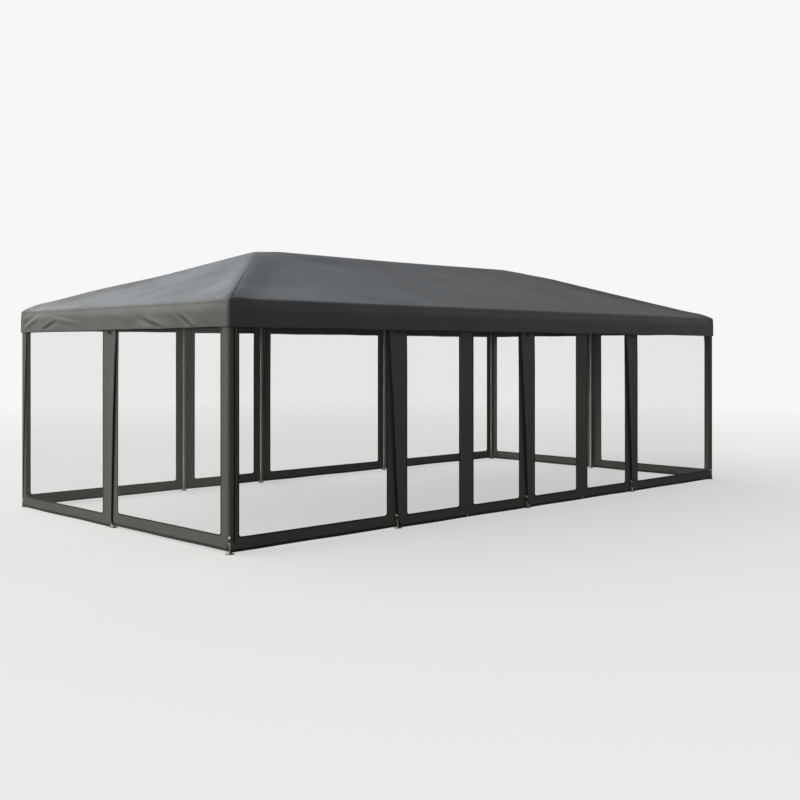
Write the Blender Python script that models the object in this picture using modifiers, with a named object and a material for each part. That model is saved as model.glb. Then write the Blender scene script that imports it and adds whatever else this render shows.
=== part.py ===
"""A plug-together party gazebo, 4 m by 8 m, with a hip roof and netted side walls.

Units are metres and +Z is up. The origin is on the ground under the middle of the plan, and X runs along
the length. The front and back are the long sides, the left and right are the ends.
"""

from math import atan2, cos, hypot, pi, radians

import bmesh
import bpy
from mathutils import Matrix, Vector

# Plan and heights
LENGTH = 8.0
WIDTH = 4.0
EAVE_HEIGHT = 2.216
RIDGE_HEIGHT = 2.885
RIDGE_INSET = 1.81
OVERHANG = 0.04
VALANCE_DROP = 0.24
FAR_VALANCE_DROP = 0.215

# Where the posts between the corners stand, measured along each side from the middle
FRONT_POSTS = (-1.98, 0.04, 2.09)
BACK_POSTS = (-1.90, -0.69, 1.58)
END_POST = 0.0

# Steel tube
TUBE_RADIUS = 0.018
LOWER_TUBE_RADIUS = 0.019
JOINT_HEIGHT = 1.10
JOINT_GROOVE_RADIUS = 0.0165
JOINT_GROOVE_HEIGHT = 0.012
CUP_RADIUS = 0.0225
CUP_HEIGHT = 0.035
FOOT_RADIUS = 0.042
FOOT_THICKNESS = 0.004
RAIL_BELOW_EAVE = 0.027
SLEEVE_RADIUS = 0.0225
BRANCH_RADIUS = 0.0205
SLEEVE_LENGTH = 0.09
SLEEVE_OVERRUN = 0.026
TUBE_SIDES = 16

# Cloth
CANOPY_THICKNESS = 0.003
SEAM_GAP = 0.002
WALL_THICKNESS = 0.004
NET_THICKNESS = 0.0015
WALL_STANDOFF = 0.0255
WALL_TOP = 2.14
WALL_BOTTOM = 0.008
WINDOW_TOP = 2.03
WINDOW_BOTTOM = 0.125
WINDOW_CORNER = 0.025

# Borders of the windows, left and right of a post as seen from outside
LONG_BORDER_LEFT = 0.16
LONG_BORDER_RIGHT = 0.105
LONG_CORNER_BORDER = 0.085
END_BORDER_LEFT = 0.16
END_BORDER_RIGHT = 0.135
END_CORNER_BORDER = 0.10

# Strips of cloth between two windows, by the number of the front panel, and where their middles are
FRONT_STRIPS = {2: -1.0, 3: 1.025}
STRIP_WIDTH = 0.215

# Where neighbouring panels meet, at the top and at the foot, from the middle of their post
LONG_MEETING_TOP = -0.16
LONG_MEETING_FOOT = -0.003
LONG_FOOT_GAP = 0.013
END_MEETING_TOP = 0.12
END_MEETING_FOOT = 0.02
MEETING_GAP = 0.003

# Pieces that touch keep this much between them
GAP = 0.0003

RAIL_HEIGHT = EAVE_HEIGHT - RAIL_BELOW_EAVE
SIDE_SLOPE = (RIDGE_HEIGHT - EAVE_HEIGHT) / (WIDTH / 2 + OVERHANG)
FRAME_RIDGE_HEIGHT = RAIL_HEIGHT + SIDE_SLOPE * WIDTH / 2
RIDGE_HALF = LENGTH / 2 - RIDGE_INSET
FRONT, RIGHT, BACK, LEFT = 0.0, pi / 2, pi, -pi / 2
RIDGE_PLAN = {FRONT: 0.0, BACK: 0.0, LEFT: RIDGE_HALF, RIGHT: RIDGE_HALF}

for old in list(bpy.data.objects):
    bpy.data.objects.remove(old, do_unlink=True)

gazebo = bpy.data.collections.new("gazebo")
cutters = bpy.data.collections.new("gazebo_cutters")
bpy.context.scene.collection.children.link(gazebo)
bpy.context.scene.collection.children.link(cutters)


def finish(name, colour, roughness, metallic=0.0):
    """A plain surface finish."""
    material = bpy.data.materials.new(name)
    material.use_nodes = True
    shader = material.node_tree.nodes["Principled BSDF"]
    shader.inputs["Base Color"].default_value = (*colour, 1.0)
    shader.inputs["Roughness"].default_value = roughness
    shader.inputs["Metallic"].default_value = metallic
    return material


STEEL = finish("galvanised_tube", (0.55, 0.57, 0.56), 0.38, 1.0)
CANOPY = finish("canopy_cloth", (0.075, 0.08, 0.088), 0.75)
WALL = finish("wall_cloth", (0.06, 0.062, 0.066), 0.8)


def add(name, data, material, collection=gazebo):
    """Put a mesh or curve into the scene as an object of its own."""
    piece = bpy.data.objects.new(name, data)
    data.materials.append(material)
    collection.objects.link(piece)
    return piece


def hide(piece):
    """Mark a piece as one that only cuts or joins others."""
    piece.hide_render = True
    piece.display_type = "WIRE"
    return piece


def modify(piece, kind, **settings):
    """Add a modifier with the settings given."""
    modifier = piece.modifiers.new(kind.lower(), kind)
    for key, value in settings.items():
        setattr(modifier, key, value)
    return modifier


def bar(name, start, end, radius, collection=gazebo):
    """A round bar between two points, as a mesh that Booleans can use."""
    start, end = Vector(start), Vector(end)
    mesh = bpy.data.meshes.new(name)
    shape = bmesh.new()
    bmesh.ops.create_cone(
        shape, cap_ends=True, segments=TUBE_SIDES, radius1=radius, radius2=radius, depth=(end - start).length
    )
    shape.to_mesh(mesh)
    shape.free()
    mesh.shade_smooth()
    mesh.set_sharp_from_angle(angle=radians(40))
    piece = add(name, mesh, STEEL, collection)
    piece.location = (start + end) / 2
    piece.rotation_mode = "QUATERNION"
    piece.rotation_quaternion = (end - start).to_track_quat("Z", "Y")
    return piece


def tube(name, start, end):
    """A straight length of tube with closed ends, as a bevelled curve."""
    curve = bpy.data.curves.new(name, "CURVE")
    curve.dimensions = "3D"
    curve.bevel_depth = TUBE_RADIUS
    curve.bevel_resolution = 4
    curve.use_fill_caps = True
    line = curve.splines.new("POLY")
    line.points.add(1)
    line.points[0].co = (*start, 1.0)
    line.points[1].co = (*end, 1.0)
    return add(name, curve, STEEL)


def turned(name, profile, material):
    """A turned piece from its outline, given as radius and height from the top down."""
    mesh = bpy.data.meshes.new(name)
    points = [(radius, 0.0, height) for radius, height in profile]
    mesh.from_pydata(points, [(i, i + 1) for i in range(len(points) - 1)], [])
    piece = add(name, mesh, material)
    screw = modify(piece, "SCREW", steps=TUBE_SIDES, render_steps=TUBE_SIDES)
    screw.use_merge_vertices = True
    screw.merge_threshold = 0.0001
    return piece


def post(name, x, y):
    """A post of two tubes: the upper one plugs into the lower one, which stands in a cup on a round foot."""
    top = RAIL_HEIGHT - SLEEVE_LENGTH - GAP
    profile = [
        (0.0, top),
        (TUBE_RADIUS, top),
        (TUBE_RADIUS, JOINT_HEIGHT + 2 * JOINT_GROOVE_HEIGHT),
        (JOINT_GROOVE_RADIUS, JOINT_HEIGHT + JOINT_GROOVE_HEIGHT),
        (JOINT_GROOVE_RADIUS, JOINT_HEIGHT),
        (LOWER_TUBE_RADIUS, JOINT_HEIGHT),
        (LOWER_TUBE_RADIUS, CUP_HEIGHT),
        (CUP_RADIUS, CUP_HEIGHT),
        (CUP_RADIUS, FOOT_THICKNESS),
        (FOOT_RADIUS, FOOT_THICKNESS),
        (FOOT_RADIUS, 0.0),
        (0.0, 0.0),
    ]
    piece = turned(name, profile, STEEL)
    piece.location = (x, y, 0.0)
    return piece


def fused(name, start, end, radius, sleeves, branches):
    """A run of tube joined with its connectors, which have sleeves along it and branches off it."""
    run = bar(name, start, end, radius)
    group = bpy.data.collections.new(name + "_connectors")
    cutters.children.link(group)
    for index, (low, high) in enumerate(sleeves):
        hide(bar(f"{name}_sleeve_{index}", low, high, SLEEVE_RADIUS, group))
    for index, (low, high) in enumerate(branches):
        hide(bar(f"{name}_branch_{index}", low, high, BRANCH_RADIUS, group))
    modify(run, "BOOLEAN", operation="UNION", operand_type="COLLECTION", collection=group, solver="EXACT")
    return run


def towards(start, end, distance):
    """The point at a distance from start on the way to end."""
    start, end = Vector(start), Vector(end)
    return start + (end - start).normalized() * distance


def rafter_feet():
    """The rafters by name, each from its joint on the eave to its joint on the ridge."""
    side, end, low, high = WIDTH / 2, LENGTH / 2, RAIL_HEIGHT, FRAME_RIDGE_HEIGHT
    feet = {}
    for index, x in enumerate(FRONT_POSTS, 1):
        feet[f"rafter_front_{index}"] = ((x, -side, low), (x, 0.0, high))
    for index, x in enumerate(BACK_POSTS, 1):
        feet[f"rafter_back_{index}"] = ((x, side, low), (x, 0.0, high))
    for end_name, sign in (("left", -1), ("right", 1)):
        top = (sign * RIDGE_HALF, 0.0, high)
        feet[f"rafter_{end_name}"] = ((sign * end, END_POST, low), top)
        feet[f"hip_front_{end_name}"] = ((sign * end, -side, low), top)
        feet[f"hip_back_{end_name}"] = ((sign * end, side, low), top)
    return feet


def build_frame():
    """Posts, eave rails with their connectors, the ridge and the rafters."""
    side, end = WIDTH / 2, LENGTH / 2
    feet = rafter_feet()
    along_x = Vector((SLEEVE_LENGTH, 0.0, 0.0))
    along_y = Vector((0.0, SLEEVE_LENGTH, 0.0))
    down = Vector((0.0, 0.0, SLEEVE_LENGTH))
    overrun = Vector((SLEEVE_OVERRUN, 0.0, 0.0))

    for row, y, stations in (("front", -side, FRONT_POSTS), ("back", side, BACK_POSTS)):
        inward = 1 if row == "front" else -1
        sleeves, branches = [], []
        for x in stations:
            joint = Vector((x, y, RAIL_HEIGHT))
            sleeves.append((joint - along_x, joint + along_x))
            branches.append((joint, joint - down))
        for sign in (-1, 1):
            corner = Vector((sign * end, y, RAIL_HEIGHT))
            sleeves.append((corner + sign * overrun, corner - sign * along_x))
            branches.append((corner, corner + inward * along_y))
            branches.append((corner, corner - down))
        for name, (low, high) in feet.items():
            if f"_{row}" in name:
                branches.append((low, towards(low, high, SLEEVE_LENGTH)))
        start, stop = (-end, y, RAIL_HEIGHT), (end, y, RAIL_HEIGHT)
        fused(f"eave_rail_{row}", start, stop, TUBE_RADIUS, sleeves, branches)
        for index, x in enumerate(stations, 1):
            post(f"post_{row}_{index}", x, y)
        for sign, end_name in ((-1, "left"), (1, "right")):
            post(f"post_{row}_{end_name}", sign * end, y)

    for sign, end_name in ((-1, "left"), (1, "right")):
        x = sign * end
        joint = Vector((x, END_POST, RAIL_HEIGHT))
        low, high = feet[f"rafter_{end_name}"]
        sleeves = [(joint - along_y, joint + along_y)]
        branches = [(joint, joint - down), (low, towards(low, high, SLEEVE_LENGTH))]
        reach = side - SLEEVE_LENGTH - GAP
        start, stop = (x, -reach, RAIL_HEIGHT), (x, reach, RAIL_HEIGHT)
        fused(f"eave_rail_{end_name}", start, stop, TUBE_RADIUS, sleeves, branches)
        post(f"post_{end_name}_middle", x, END_POST)

    branches = [(high, towards(high, low, SLEEVE_LENGTH)) for low, high in feet.values()]
    reach = RIDGE_HALF + SLEEVE_OVERRUN
    start, stop = (-reach, 0.0, FRAME_RIDGE_HEIGHT), (reach, 0.0, FRAME_RIDGE_HEIGHT)
    fused("ridge", start, stop, SLEEVE_RADIUS, [], branches)
    for name, (low, high) in feet.items():
        reach = SLEEVE_LENGTH + GAP
        tube(name, towards(low, high, reach), towards(high, low, reach))


def outline(name, corners, thickness, material):
    """A flat sheet with the outline given, lying in its own XY plane with its thickness centred on it."""
    curve = bpy.data.curves.new(name, "CURVE")
    curve.dimensions = "2D"
    curve.fill_mode = "BOTH"
    curve.extrude = thickness / 2
    line = curve.splines.new("POLY")
    line.points.add(len(corners) - 1)
    for point, (x, y) in zip(line.points, corners):
        point.co = (x, y, 0.0, 1.0)
    line.use_cyclic_u = True
    return add(name, curve, material)


def roof_panel(name, eave_half, ridge_half, run, turn):
    """A roof slope: a trapezium, or a triangle over an end, laid with its outer face in the roof's plane."""
    rise = RIDGE_HEIGHT - EAVE_HEIGHT
    depth = hypot(run, rise)
    hip = hypot(eave_half - ridge_half, depth)
    trim = SEAM_GAP * hip / depth
    slide = trim * (eave_half - ridge_half) / depth
    eave = eave_half - trim
    top = ridge_half - trim + slide if ridge_half else 0.0
    if ridge_half:
        corners = [(-eave, 0.0), (eave, 0.0), (top, depth - SEAM_GAP), (-top, depth - SEAM_GAP)]
    else:
        corners = [(-eave, 0.0), (eave, 0.0), (0.0, depth * eave / eave_half)]
    piece = outline(name, corners, CANOPY_THICKNESS, CANOPY)
    tilt = Matrix.Rotation(atan2(rise, run), 4, "X")
    distance = RIDGE_PLAN[turn] + run
    lift = EAVE_HEIGHT - CANOPY_THICKNESS / 2 * cos(atan2(rise, run))
    place = Matrix.Rotation(turn, 4, "Z") @ Matrix.Translation((0.0, -distance, lift))
    piece.matrix_world = place @ tilt
    return piece


def valance(name, half, distance, drop, turn):
    """The straight drop of cloth below an eave."""
    top = EAVE_HEIGHT - CANOPY_THICKNESS - GAP
    bottom = EAVE_HEIGHT - drop
    mesh = bpy.data.meshes.new(name)
    shape = bmesh.new()
    bmesh.ops.create_cube(shape, size=1.0)
    bmesh.ops.scale(shape, verts=shape.verts, vec=(2 * half, CANOPY_THICKNESS, top - bottom))
    shape.to_mesh(mesh)
    shape.free()
    piece = add(name, mesh, CANOPY)
    middle = (top + bottom) / 2
    piece.matrix_world = Matrix.Rotation(turn, 4, "Z") @ Matrix.Translation((0.0, -distance, middle))
    return piece


def build_canopy():
    """Four roof slopes and four valances, with a seam's width between them."""
    half_length = LENGTH / 2 + OVERHANG
    half_width = WIDTH / 2 + OVERHANG
    end_run = half_length - RIDGE_HALF
    roof_panel("roof_front", half_length, RIDGE_HALF, half_width, FRONT)
    roof_panel("roof_back", half_length, RIDGE_HALF, half_width, BACK)
    roof_panel("roof_left", half_width, 0.0, end_run, LEFT)
    roof_panel("roof_right", half_width, 0.0, end_run, RIGHT)
    valance("valance_front", half_length, half_width, VALANCE_DROP, FRONT)
    valance("valance_back", half_length, half_width, FAR_VALANCE_DROP, BACK)
    end_half, end_distance = half_width - SEAM_GAP, half_length - CANOPY_THICKNESS / 2
    valance("valance_left", end_half, end_distance, VALANCE_DROP, LEFT)
    valance("valance_right", end_half, end_distance, FAR_VALANCE_DROP, RIGHT)


def as_mesh(piece):
    """The same piece as a mesh with its caps welded on, in place of the curve."""
    bpy.context.view_layer.update()
    graph = bpy.context.evaluated_depsgraph_get()
    mesh = bpy.data.meshes.new_from_object(piece.evaluated_get(graph))
    shape = bmesh.new()
    shape.from_mesh(mesh)
    bmesh.ops.remove_doubles(shape, verts=shape.verts, dist=0.00001)
    shape.to_mesh(mesh)
    shape.free()
    name, place = piece.name, piece.matrix_world.copy()
    bpy.data.objects.remove(piece, do_unlink=True)
    solid = bpy.data.objects.new(name, mesh)
    gazebo.objects.link(solid)
    solid.matrix_world = place
    return solid


def window_cutter(name, low, high, outward):
    """A box with rounded corners that sinks a window into one face of a wall, down to the net."""
    width = high - low
    height = WINDOW_TOP - WINDOW_BOTTOM
    depth = 2 * WALL_THICKNESS
    mesh = bpy.data.meshes.new(name)
    shape = bmesh.new()
    bmesh.ops.create_cube(shape, size=1.0)
    bmesh.ops.scale(shape, verts=shape.verts, vec=(width, height, depth))
    upright = [edge for edge in shape.edges if abs(edge.verts[0].co.z - edge.verts[1].co.z) > depth / 2]
    bmesh.ops.bevel(shape, geom=upright, offset=WINDOW_CORNER, segments=3, profile=0.5, affect="EDGES")
    shape.to_mesh(mesh)
    shape.free()
    cutter = hide(add(name, mesh, WALL, cutters))
    middle = (WINDOW_TOP + WINDOW_BOTTOM) / 2
    offset = NET_THICKNESS / 2 + depth / 2
    cutter.location = ((low + high) / 2, middle, outward * offset)
    return cutter


def wall_panel(name, left, right, windows, distance, turn):
    """A side wall between two posts: a cloth border round thinner nets, sewn as one piece.

    left and right are each edge's places at the top and at the bottom, from the middle of the side as
    seen from outside, and windows are the left and right edges of its nets.
    """
    corners = [
        (left[1], WALL_BOTTOM),
        (right[1], WALL_BOTTOM),
        (right[0], WALL_TOP),
        (left[0], WALL_TOP),
    ]
    piece = as_mesh(outline(name, corners, WALL_THICKNESS, WALL))
    upright = Matrix.Rotation(pi / 2, 4, "X")
    place = Matrix.Rotation(turn, 4, "Z") @ Matrix.Translation((0.0, -distance, 0.0)) @ upright
    piece.matrix_world = place
    for index, (low, high) in enumerate(windows, 1):
        for face, outward in (("outer", 1), ("inner", -1)):
            cutter = window_cutter(f"{name}_{face}_{index}", low, high, outward)
            cutter.matrix_world = place @ Matrix.Translation(cutter.location)
            modify(piece, "BOOLEAN", operation="DIFFERENCE", object=cutter, solver="EXACT")
    return piece


def meeting(middle, top, foot):
    """Where a panel's slanted edge is at its top and at its foot, by a post at middle."""
    return middle + top, middle + foot


def long_wall(row, posts, strips, turn):
    """The wall panels of a long side, from left to right as seen from outside."""
    corner = LENGTH / 2
    reach = corner + WALL_STANDOFF + WALL_THICKNESS / 2
    count = len(posts) + 1
    for index in range(count):
        first, last = index == 0, index == count - 1
        left_post = -corner if first else posts[index - 1]
        right_post = corner if last else posts[index]
        left = (-reach, -reach)
        right = (reach, reach)
        if not first:
            left = meeting(left_post, LONG_MEETING_TOP + MEETING_GAP, LONG_MEETING_FOOT + LONG_FOOT_GAP)
        if not last:
            right = meeting(right_post, LONG_MEETING_TOP - MEETING_GAP, LONG_MEETING_FOOT - LONG_FOOT_GAP)
        low = left_post + (LONG_CORNER_BORDER if first else LONG_BORDER_RIGHT)
        high = right_post - (LONG_CORNER_BORDER if last else LONG_BORDER_LEFT)
        windows = [(low, high)]
        if index + 1 in strips:
            middle = strips[index + 1]
            windows = [(low, middle - STRIP_WIDTH / 2), (middle + STRIP_WIDTH / 2, high)]
        wall_panel(f"wall_{row}_{index + 1}", left, right, windows, WIDTH / 2 + WALL_STANDOFF, turn)


def end_wall(row, turn):
    """The two wall panels of an end, from left to right as seen from outside."""
    corner = WIDTH / 2
    reach = corner + WALL_STANDOFF - WALL_THICKNESS / 2 - GAP
    distance = LENGTH / 2 + WALL_STANDOFF
    right = meeting(END_POST, END_MEETING_TOP - MEETING_GAP, END_MEETING_FOOT - MEETING_GAP)
    windows = [(-corner + END_CORNER_BORDER, END_POST - END_BORDER_LEFT)]
    wall_panel(f"wall_{row}_1", (-reach, -reach), right, windows, distance, turn)
    left = meeting(END_POST, END_MEETING_TOP + MEETING_GAP, END_MEETING_FOOT + MEETING_GAP)
    windows = [(END_POST + END_BORDER_RIGHT, corner - END_CORNER_BORDER)]
    wall_panel(f"wall_{row}_2", left, (reach, reach), windows, distance, turn)


def build_walls():
    """Twelve netted panels, one to each bay."""
    long_wall("front", FRONT_POSTS, FRONT_STRIPS, FRONT)
    long_wall("back", sorted(-x for x in BACK_POSTS), {}, BACK)
    end_wall("left", LEFT)
    end_wall("right", RIGHT)


build_frame()
build_canopy()
build_walls()
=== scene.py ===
"""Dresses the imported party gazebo: its sewn cover, netted walls, tube frame, fittings, studio and camera.

Units are metres and +Z is up. The origin is on the ground under the middle of the plan. The front and back
are the long sides, the left and right are the ends. A place on a side is given as along, from left to right
as seen from outside, outward, from the middle of the plan, and height.
"""

import logging
import math
from dataclasses import dataclass, field, replace
from enum import Enum

import bmesh
import bpy
import numpy as np
from mathutils import Euler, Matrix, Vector
from numpy.typing import NDArray


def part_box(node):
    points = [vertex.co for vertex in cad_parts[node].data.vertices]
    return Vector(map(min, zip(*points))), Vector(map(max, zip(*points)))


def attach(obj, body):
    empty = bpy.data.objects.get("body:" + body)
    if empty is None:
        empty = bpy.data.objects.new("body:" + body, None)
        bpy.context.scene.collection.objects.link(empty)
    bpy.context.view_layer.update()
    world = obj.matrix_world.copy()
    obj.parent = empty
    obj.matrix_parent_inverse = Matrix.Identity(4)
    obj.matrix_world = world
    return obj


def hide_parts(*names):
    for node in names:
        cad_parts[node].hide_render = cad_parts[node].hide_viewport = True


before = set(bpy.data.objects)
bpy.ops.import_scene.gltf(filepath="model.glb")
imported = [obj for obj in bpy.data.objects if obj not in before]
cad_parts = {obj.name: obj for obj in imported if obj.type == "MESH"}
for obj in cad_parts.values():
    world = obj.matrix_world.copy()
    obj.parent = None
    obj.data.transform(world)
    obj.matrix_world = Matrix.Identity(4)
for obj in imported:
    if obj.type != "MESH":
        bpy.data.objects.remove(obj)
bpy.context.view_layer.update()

LOG = logging.getLogger("gazebo")
Array = NDArray[np.float64]
Indices = NDArray[np.int64]
Pair = tuple[float, float]
Triple = tuple[float, float, float]
Colour = tuple[float, float, float, float]
Piece = bpy.types.Object
Material = bpy.types.Material
Socket = bpy.types.NodeSocket
Value = Socket | float | tuple[float, ...]

BODY = "root"
UP = (0.0, 0.0, 1.0)
TURN = 2.0 * math.pi
CLOTH_THICKNESS = 0.0012
WALL_THICKNESS = 0.001
WELD_DISTANCE = 0.00004
SHARP_ANGLE = 40.0


class Side(Enum):
    """The four sides, in the order that goes round anticlockwise as seen from above."""

    FRONT = 0
    RIGHT = 1
    BACK = 2
    LEFT = 3

    @property
    def label(self) -> str:
        """The side's name in a node's name."""
        return self.name.lower()

    @property
    def is_long(self) -> bool:
        """Whether this is one of the two long sides."""
        return self in (Side.FRONT, Side.BACK)

    @property
    def following(self) -> "Side":
        """The side beyond this one's right-hand corner."""
        return Side((self.value + 1) % 4)

    @property
    def previous(self) -> "Side":
        """The side beyond this one's left-hand corner."""
        return Side((self.value + 3) % 4)

    @property
    def quarter_turns(self) -> tuple[int, int]:
        """Cosine and sine of the turn from the front to this side."""
        return ((1, 0), (0, 1), (-1, 0), (0, -1))[self.value]

    def world(self, along: Array | float, outward: Array | float, height: Array | float) -> Array:
        """Turn places on this side into points.

        A quarter turn for each step round the plan takes (along, -outward) to (x, y).

        Args:
            along: Distance to the right of the side's middle.
            outward: Distance from the middle of the plan.
            height: Distance above the ground.

        Returns:
            Points with x, y and z on the last axis.
        """
        cosine, sine = self.quarter_turns
        along, outward, height = np.broadcast_arrays(along, outward, height)
        x = cosine * along + sine * outward
        y = sine * along - cosine * outward
        return np.stack([x, y, height], axis=-1).astype(float)

    def along_of(self, point: Vector) -> float:
        """The along value of a point, the inverse of world."""
        cosine, sine = self.quarter_turns
        return cosine * point.x + sine * point.y


def ease(low: float, high: float, value: Array) -> Array:
    """A smooth step: 0 below low, 1 above high, and 3t squared less 2t cubed between them."""
    share = np.clip((np.asarray(value, float) - low) / (high - low), 0.0, 1.0)
    return share * share * (3.0 - 2.0 * share)


def bell(distance: Array, width: float) -> Array:
    """A bell curve of height 1: e to the power of minus (distance over width) squared."""
    return np.exp(-((distance / width) ** 2))


@dataclass
class Surface:
    """A mesh in the making.

    Attributes:
        points: One row of x, y and z for each vertex.
        faces: Four vertex numbers for each face.
        uv: One pair for each vertex, in metres of cloth.
        slots: The material number of each face.
    """

    points: Array
    faces: Indices
    uv: Array
    slots: Indices

    @classmethod
    def from_grid(cls, points: Array, uv: Array | None = None, slots: Indices | None = None) -> "Surface":
        """Make a surface from a grid of points.

        Each cell has its corners at (r, c), (r, c+1), (r+1, c+1) and (r+1, c), so it faces the way of the
        column direction crossed with the row direction.

        Args:
            points: Grid with rows, columns and x, y, z on its axes.
            uv: Grid of the same rows and columns with pairs, or None for lengths along the grid's lines.
            slots: Material number of each cell, or None for all 0.

        Returns:
            The surface.
        """
        rows, columns = points.shape[:2]
        index = np.arange(rows * columns).reshape(rows, columns)
        faces = np.stack([index[:-1, :-1], index[:-1, 1:], index[1:, 1:], index[1:, :-1]], axis=-1)
        if uv is None:
            uv = np.stack([lengths(points, 1), lengths(points, 0)], axis=-1)
        if slots is None:
            slots = np.zeros((rows - 1, columns - 1), int)
        return cls(points.reshape(-1, 3), faces.reshape(-1, 4), uv.reshape(-1, 2), slots.reshape(-1))

    @classmethod
    def joined(cls, parts: list["Surface"]) -> "Surface":
        """One surface out of several, with each part's vertex numbers moved up past those before it.

        Args:
            parts: The surfaces, in order.

        Returns:
            The surface.
        """
        starts = np.cumsum([0] + [len(part.points) for part in parts[:-1]])
        return cls(
            np.concatenate([part.points for part in parts]),
            np.concatenate([part.faces + start for part, start in zip(parts, starts)]),
            np.concatenate([part.uv for part in parts]),
            np.concatenate([part.slots for part in parts]),
        )

    def build(self, name: str, finishes: list[Material], closed: bool = True) -> Piece:
        """Put the surface into the scene as a smooth-shaded piece.

        Args:
            name: The piece's name.
            finishes: Its materials, in the order that slots counts them.
            closed: Whether each shell is closed, and so can be turned to face outwards.

        Returns:
            The new object, at the origin.
        """
        mesh = bpy.data.meshes.new(name)
        count = len(self.faces)
        mesh.vertices.add(len(self.points))
        mesh.vertices.foreach_set("co", self.points.astype(np.float32).ravel())
        mesh.loops.add(4 * count)
        mesh.loops.foreach_set("vertex_index", self.faces.astype(np.int32).ravel())
        mesh.polygons.add(count)
        mesh.polygons.foreach_set("loop_start", np.arange(0, 4 * count, 4, dtype=np.int32))
        mesh.polygons.foreach_set("material_index", self.slots.astype(np.int32))
        layer = mesh.uv_layers.new(name="cloth")
        layer.uv.foreach_set("vector", self.uv[self.faces.ravel()].astype(np.float32).ravel())
        mesh.update(calc_edges=True)
        shape = bmesh.new()
        shape.from_mesh(mesh)
        bmesh.ops.remove_doubles(shape, verts=shape.verts, dist=WELD_DISTANCE)
        bmesh.ops.dissolve_degenerate(shape, edges=shape.edges, dist=WELD_DISTANCE / 4)
        if closed:
            bmesh.ops.recalc_face_normals(shape, faces=shape.faces)
        shape.to_mesh(mesh)
        shape.free()
        mesh.shade_smooth()
        if closed:
            mesh.set_sharp_from_angle(angle=math.radians(SHARP_ANGLE))
        for finish in finishes:
            mesh.materials.append(finish)
        piece = bpy.data.objects.new(name, mesh)
        bpy.context.scene.collection.objects.link(piece)
        return piece


def lengths(points: Array, axis: int) -> Array:
    """Running length along one axis of a grid of points: the sum of the steps' lengths up to each point.

    Args:
        points: The grid, with x, y and z on its last axis.
        axis: The axis to go along.

    Returns:
        A length for each point.
    """
    steps = np.linalg.norm(np.diff(points, axis=axis), axis=-1)
    start = np.zeros_like(np.take(steps, [0], axis=axis))
    return np.concatenate([start, np.cumsum(steps, axis=axis)], axis=axis)


def unit(vectors: Array) -> Array:
    """The vectors at length 1, and zero vectors left alone."""
    size = np.linalg.norm(vectors, axis=-1, keepdims=True)
    return vectors / np.where(size > 0, size, 1.0)


def alike(direction: Array | Triple | Pair, points: Array) -> Array:
    """The same direction at every point."""
    return np.broadcast_to(np.asarray(direction, float), points.shape)


def with_ends(grid: Array) -> Array:
    """Close a tube of points by a row at each end, all of it at the middle of the row beside it.

    Args:
        grid: Rows that each go round the tube.

    Returns:
        The grid with two more rows.
    """
    first, last = (np.broadcast_to(row.mean(axis=0), (1, *row.shape)) for row in (grid[0], grid[-1]))
    return np.concatenate([first, grid, last])


def ribbon(path: Array, across: Array, normal: Array, outline: Array, capped: bool = True) -> Surface:
    """Carry a closed outline along a path.

    A point is the path's point, plus the outline's first number along across, plus its second along normal.

    Args:
        path: Points of the path.
        across: Direction across the ribbon at each point.
        normal: Direction out of the ribbon's face at each point.
        outline: Pairs that go round the ribbon's section, the last the same as the first.
        capped: Whether the ends are closed, by rows that shrink to a point.

    Returns:
        The closed surface.
    """
    across, normal = unit(across), unit(normal)
    grid = path[:, None] + outline[None, :, :1] * across[:, None] + outline[None, :, 1:] * normal[:, None]
    return Surface.from_grid(with_ends(grid) if capped else grid)


def band_outline(low: float, high: float, under: float, over: float) -> Array:
    """The section of a flat band with chamfered corners.

    Args:
        low: Its first edge, across the band.
        high: Its second edge.
        under: Its lower face, along the normal.
        over: Its upper face.

    Returns:
        Pairs that go round the section and end where they start.
    """
    cut = min((over - under) * 0.35, (high - low) * 0.2)
    return np.array([
        (low + cut, under), (high - cut, under), (high, under + cut), (high, over - cut),
        (high - cut, over), (low + cut, over), (low, over - cut), (low, under + cut), (low + cut, under),
    ])


def turned(profile: list[Pair], centre: Array, sides: int = 28, upright: Array | None = None) -> Surface:
    """A turned shape about an upright line.

    The point for profile radius r, height h and angle t is centre + r cos t X + r sin t Y + h Z.

    Args:
        profile: Radius and height pairs from the bottom up.
        centre: The foot of the axis.
        sides: How many columns go round.
        upright: The axis' direction, or None for +Z.

    Returns:
        The surface, closed where the profile starts and ends on the axis.
    """
    axis = unit(np.asarray(UP if upright is None else upright, float))
    helper = np.array([1.0, 0.0, 0.0]) if abs(axis[0]) < 0.9 else np.array([0.0, 1.0, 0.0])
    second = unit(np.cross(axis, helper))
    first = np.cross(second, axis)
    radius, height = np.array(profile, float).T
    angle = np.linspace(0.0, TURN, sides + 1)
    ring = np.cos(angle)[:, None] * first + np.sin(angle)[:, None] * second
    grid = np.asarray(centre, float) + radius[:, None, None] * ring[None] + height[:, None, None] * axis
    return Surface.from_grid(grid)


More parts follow.
